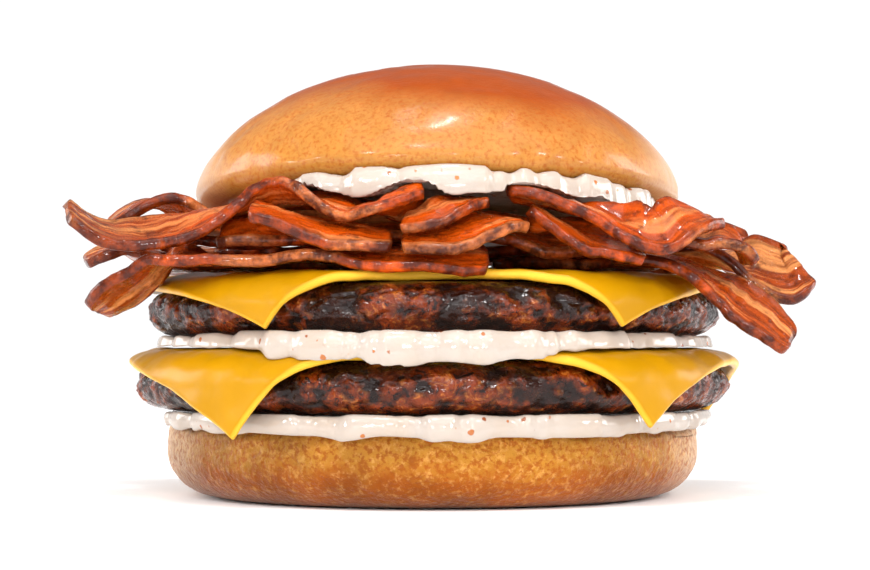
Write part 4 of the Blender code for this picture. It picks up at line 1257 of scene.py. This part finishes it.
class BURGER_OT_sauces(bpy.types.Operator):
    """Add the three layers of white sauce"""
    bl_idname = "burger.sauces"
    bl_label = "Sauces"

    def execute(self, context):
        lobes = context.scene.burger_shape.sauce_lobes / MM
        look = sauce_look(context.scene.burger_colours)
        marks = sauce_profile(*LOWER_SAUCE_FORM)
        low = shown_sauce(LOWER_SAUCE, marks, 1.0, heel_top, lower_patty_floor, lobes)
        add_piece("lower_sauce", wrapped(low, {}), look, "sauce_lower")
        marks = sauce_profile(*MIDDLE_SAUCE_FORM)
        middle = shown_sauce(MIDDLE_SAUCE, marks, 5.0, lower_cheese_top, upper_patty_floor, lobes)
        add_piece("middle_sauce", wrapped(middle, {}), look, "sauce_middle")
        marks = sauce_profile(*UPPER_SAUCE_FORM)
        high = shown_sauce(UPPER_SAUCE, marks, 9.0, nothing_below, crown_floor, lobes)
        turn = np.array(crown_matrix())
        high = high @ turn[:3, :3].T + turn[:3, 3]
        high = rest_sauce(high, laid_strips()[1])
        add_piece("upper_sauce", wrapped(high, {}), look, "sauce_upper")
        return {"FINISHED"}


class BURGER_OT_bacon(bpy.types.Operator):
    """Add every strip of bacon in the heap"""
    bl_idname = "burger.bacon"
    bl_label = "Bacon strips"

    def execute(self, context):
        ripple = context.scene.burger_shape.bacon_ripple / MM
        look = bacon_look(context.scene.burger_colours)
        for number, (name, width, sheet) in enumerate(laid_strips()[0]):
            strip = shown_strip(sheet, width, number * 3.7, ripple)
            add_piece("strip_" + name[6:], strip, look, name)
        return {"FINISHED"}


def add_softbox(name, place, size, power):
    """A soft rectangular light aimed at the middle of the burger."""
    light = bpy.data.lights.new(name, "AREA")
    light.shape = "RECTANGLE"
    light.size, light.size_y = size
    light.energy = power
    lamp = bpy.data.objects.new(name, light)
    lamp.location = place
    lamp.rotation_euler = (Vector(LAMPS_AIM) - Vector(place)).to_track_quat("-Z", "Y").to_euler()
    bpy.context.scene.collection.objects.link(lamp)


def add_sun():
    """A wide soft source high in front that keeps the paper evenly white far away."""
    light = bpy.data.lights.new("ceiling", "SUN")
    light.energy = SUN_STRENGTH
    light.angle = math.radians(SUN_SOFTNESS)
    lamp = bpy.data.objects.new("ceiling", light)
    lamp.rotation_euler = (math.radians(SUN_TILT), 0.0, 0.0)
    bpy.context.scene.collection.objects.link(lamp)


def add_floor():
    """White paper that lies flat under the burger and rises far away."""
    bm = bmesh.new()
    bmesh.ops.create_grid(bm, x_segments=80, y_segments=80, size=4.0)
    for vert in bm.verts:
        away = max(0.0, vert.co.xy.length - 1.2)
        vert.co.z = 0.13 * away ** 2 - 0.0002
    for face in bm.faces:
        face.smooth = True
    mesh = bpy.data.meshes.new("studio_floor")
    bm.to_mesh(mesh)
    bm.free()
    mesh.materials.append(floor_look())
    floor = bpy.data.objects.new("studio_floor", mesh)
    bpy.context.scene.collection.objects.link(floor)
    floor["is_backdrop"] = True


class BURGER_OT_stage(bpy.types.Operator):
    """Add the white floor, the soft lights and the camera"""
    bl_idname = "burger.stage"
    bl_label = "Stage"

    def execute(self, context):
        scene = context.scene
        add_floor()
        world = bpy.data.worlds.new("soft_white_room")
        world.use_nodes = True
        background = world.node_tree.nodes["Background"]
        background.inputs["Color"].default_value = linear(ROOM_WHITE)
        background.inputs["Strength"].default_value = ROOM_LIGHT
        scene.world = world
        add_sun()
        for name, place, size, power in SOFTBOXES:
            add_softbox(name, place, size, power)
        for number, place in enumerate(SPARKS):
            add_softbox("spark_%d" % number, place, SPARK_SIZE, SPARK_POWER)
        camera = bpy.data.cameras.new("photo_camera")
        camera.sensor_width = CAMERA_SENSOR
        camera.lens = CAMERA_LENS
        camera.clip_start = 0.01
        view = bpy.data.objects.new("photo_camera", camera)
        view.location = CAMERA_PLACE
        view.rotation_euler = (math.radians(CAMERA_TILT), 0.0, 0.0)
        scene.collection.objects.link(view)
        scene.camera = view
        scene.view_settings.view_transform = "Standard"
        return {"FINISHED"}


class BURGER_PT_panel(bpy.types.Panel):
    """Lists the pieces of the burger with their sizes and colours"""
    bl_idname = "BURGER_PT_panel"
    bl_label = "Double Cheeseburger"
    bl_space_type = "VIEW_3D"
    bl_region_type = "UI"
    bl_category = "Burger"

    def draw(self, context):
        for group in (context.scene.burger_shape, context.scene.burger_colours):
            box = self.layout.box()
            for name in group.__annotations__:
                box.prop(group, name)
        for operator in OPERATORS:
            self.layout.operator(operator.bl_idname)


OPERATORS = (BURGER_OT_buns, BURGER_OT_patties, BURGER_OT_cheese, BURGER_OT_sauces,
             BURGER_OT_bacon, BURGER_OT_stage)
CLASSES = (BurgerShape, BurgerColours) + OPERATORS + (BURGER_PT_panel,)


def register():
    for cls in CLASSES:
        bpy.utils.register_class(cls)
    bpy.types.Scene.burger_shape = bpy.props.PointerProperty(type=BurgerShape)
    bpy.types.Scene.burger_colours = bpy.props.PointerProperty(type=BurgerColours)


def unregister():
    del bpy.types.Scene.burger_colours
    del bpy.types.Scene.burger_shape
    for cls in reversed(CLASSES):
        bpy.utils.unregister_class(cls)


def write_size():
    """Gathers the CAD box and the shown box as lists of corners."""
    boxes = {"cad": CAD_BOX, "visual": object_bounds()}
    lists = {name: [list(corner) for corner in box] for name, box in boxes.items()}


def main():
    register()
    bpy.ops.burger.stage()
    bpy.ops.burger.buns()
    bpy.ops.burger.patties()
    bpy.ops.burger.cheese()
    bpy.ops.burger.sauces()
    bpy.ops.burger.bacon()
    write_size()


if __name__ == "__main__":
    main()
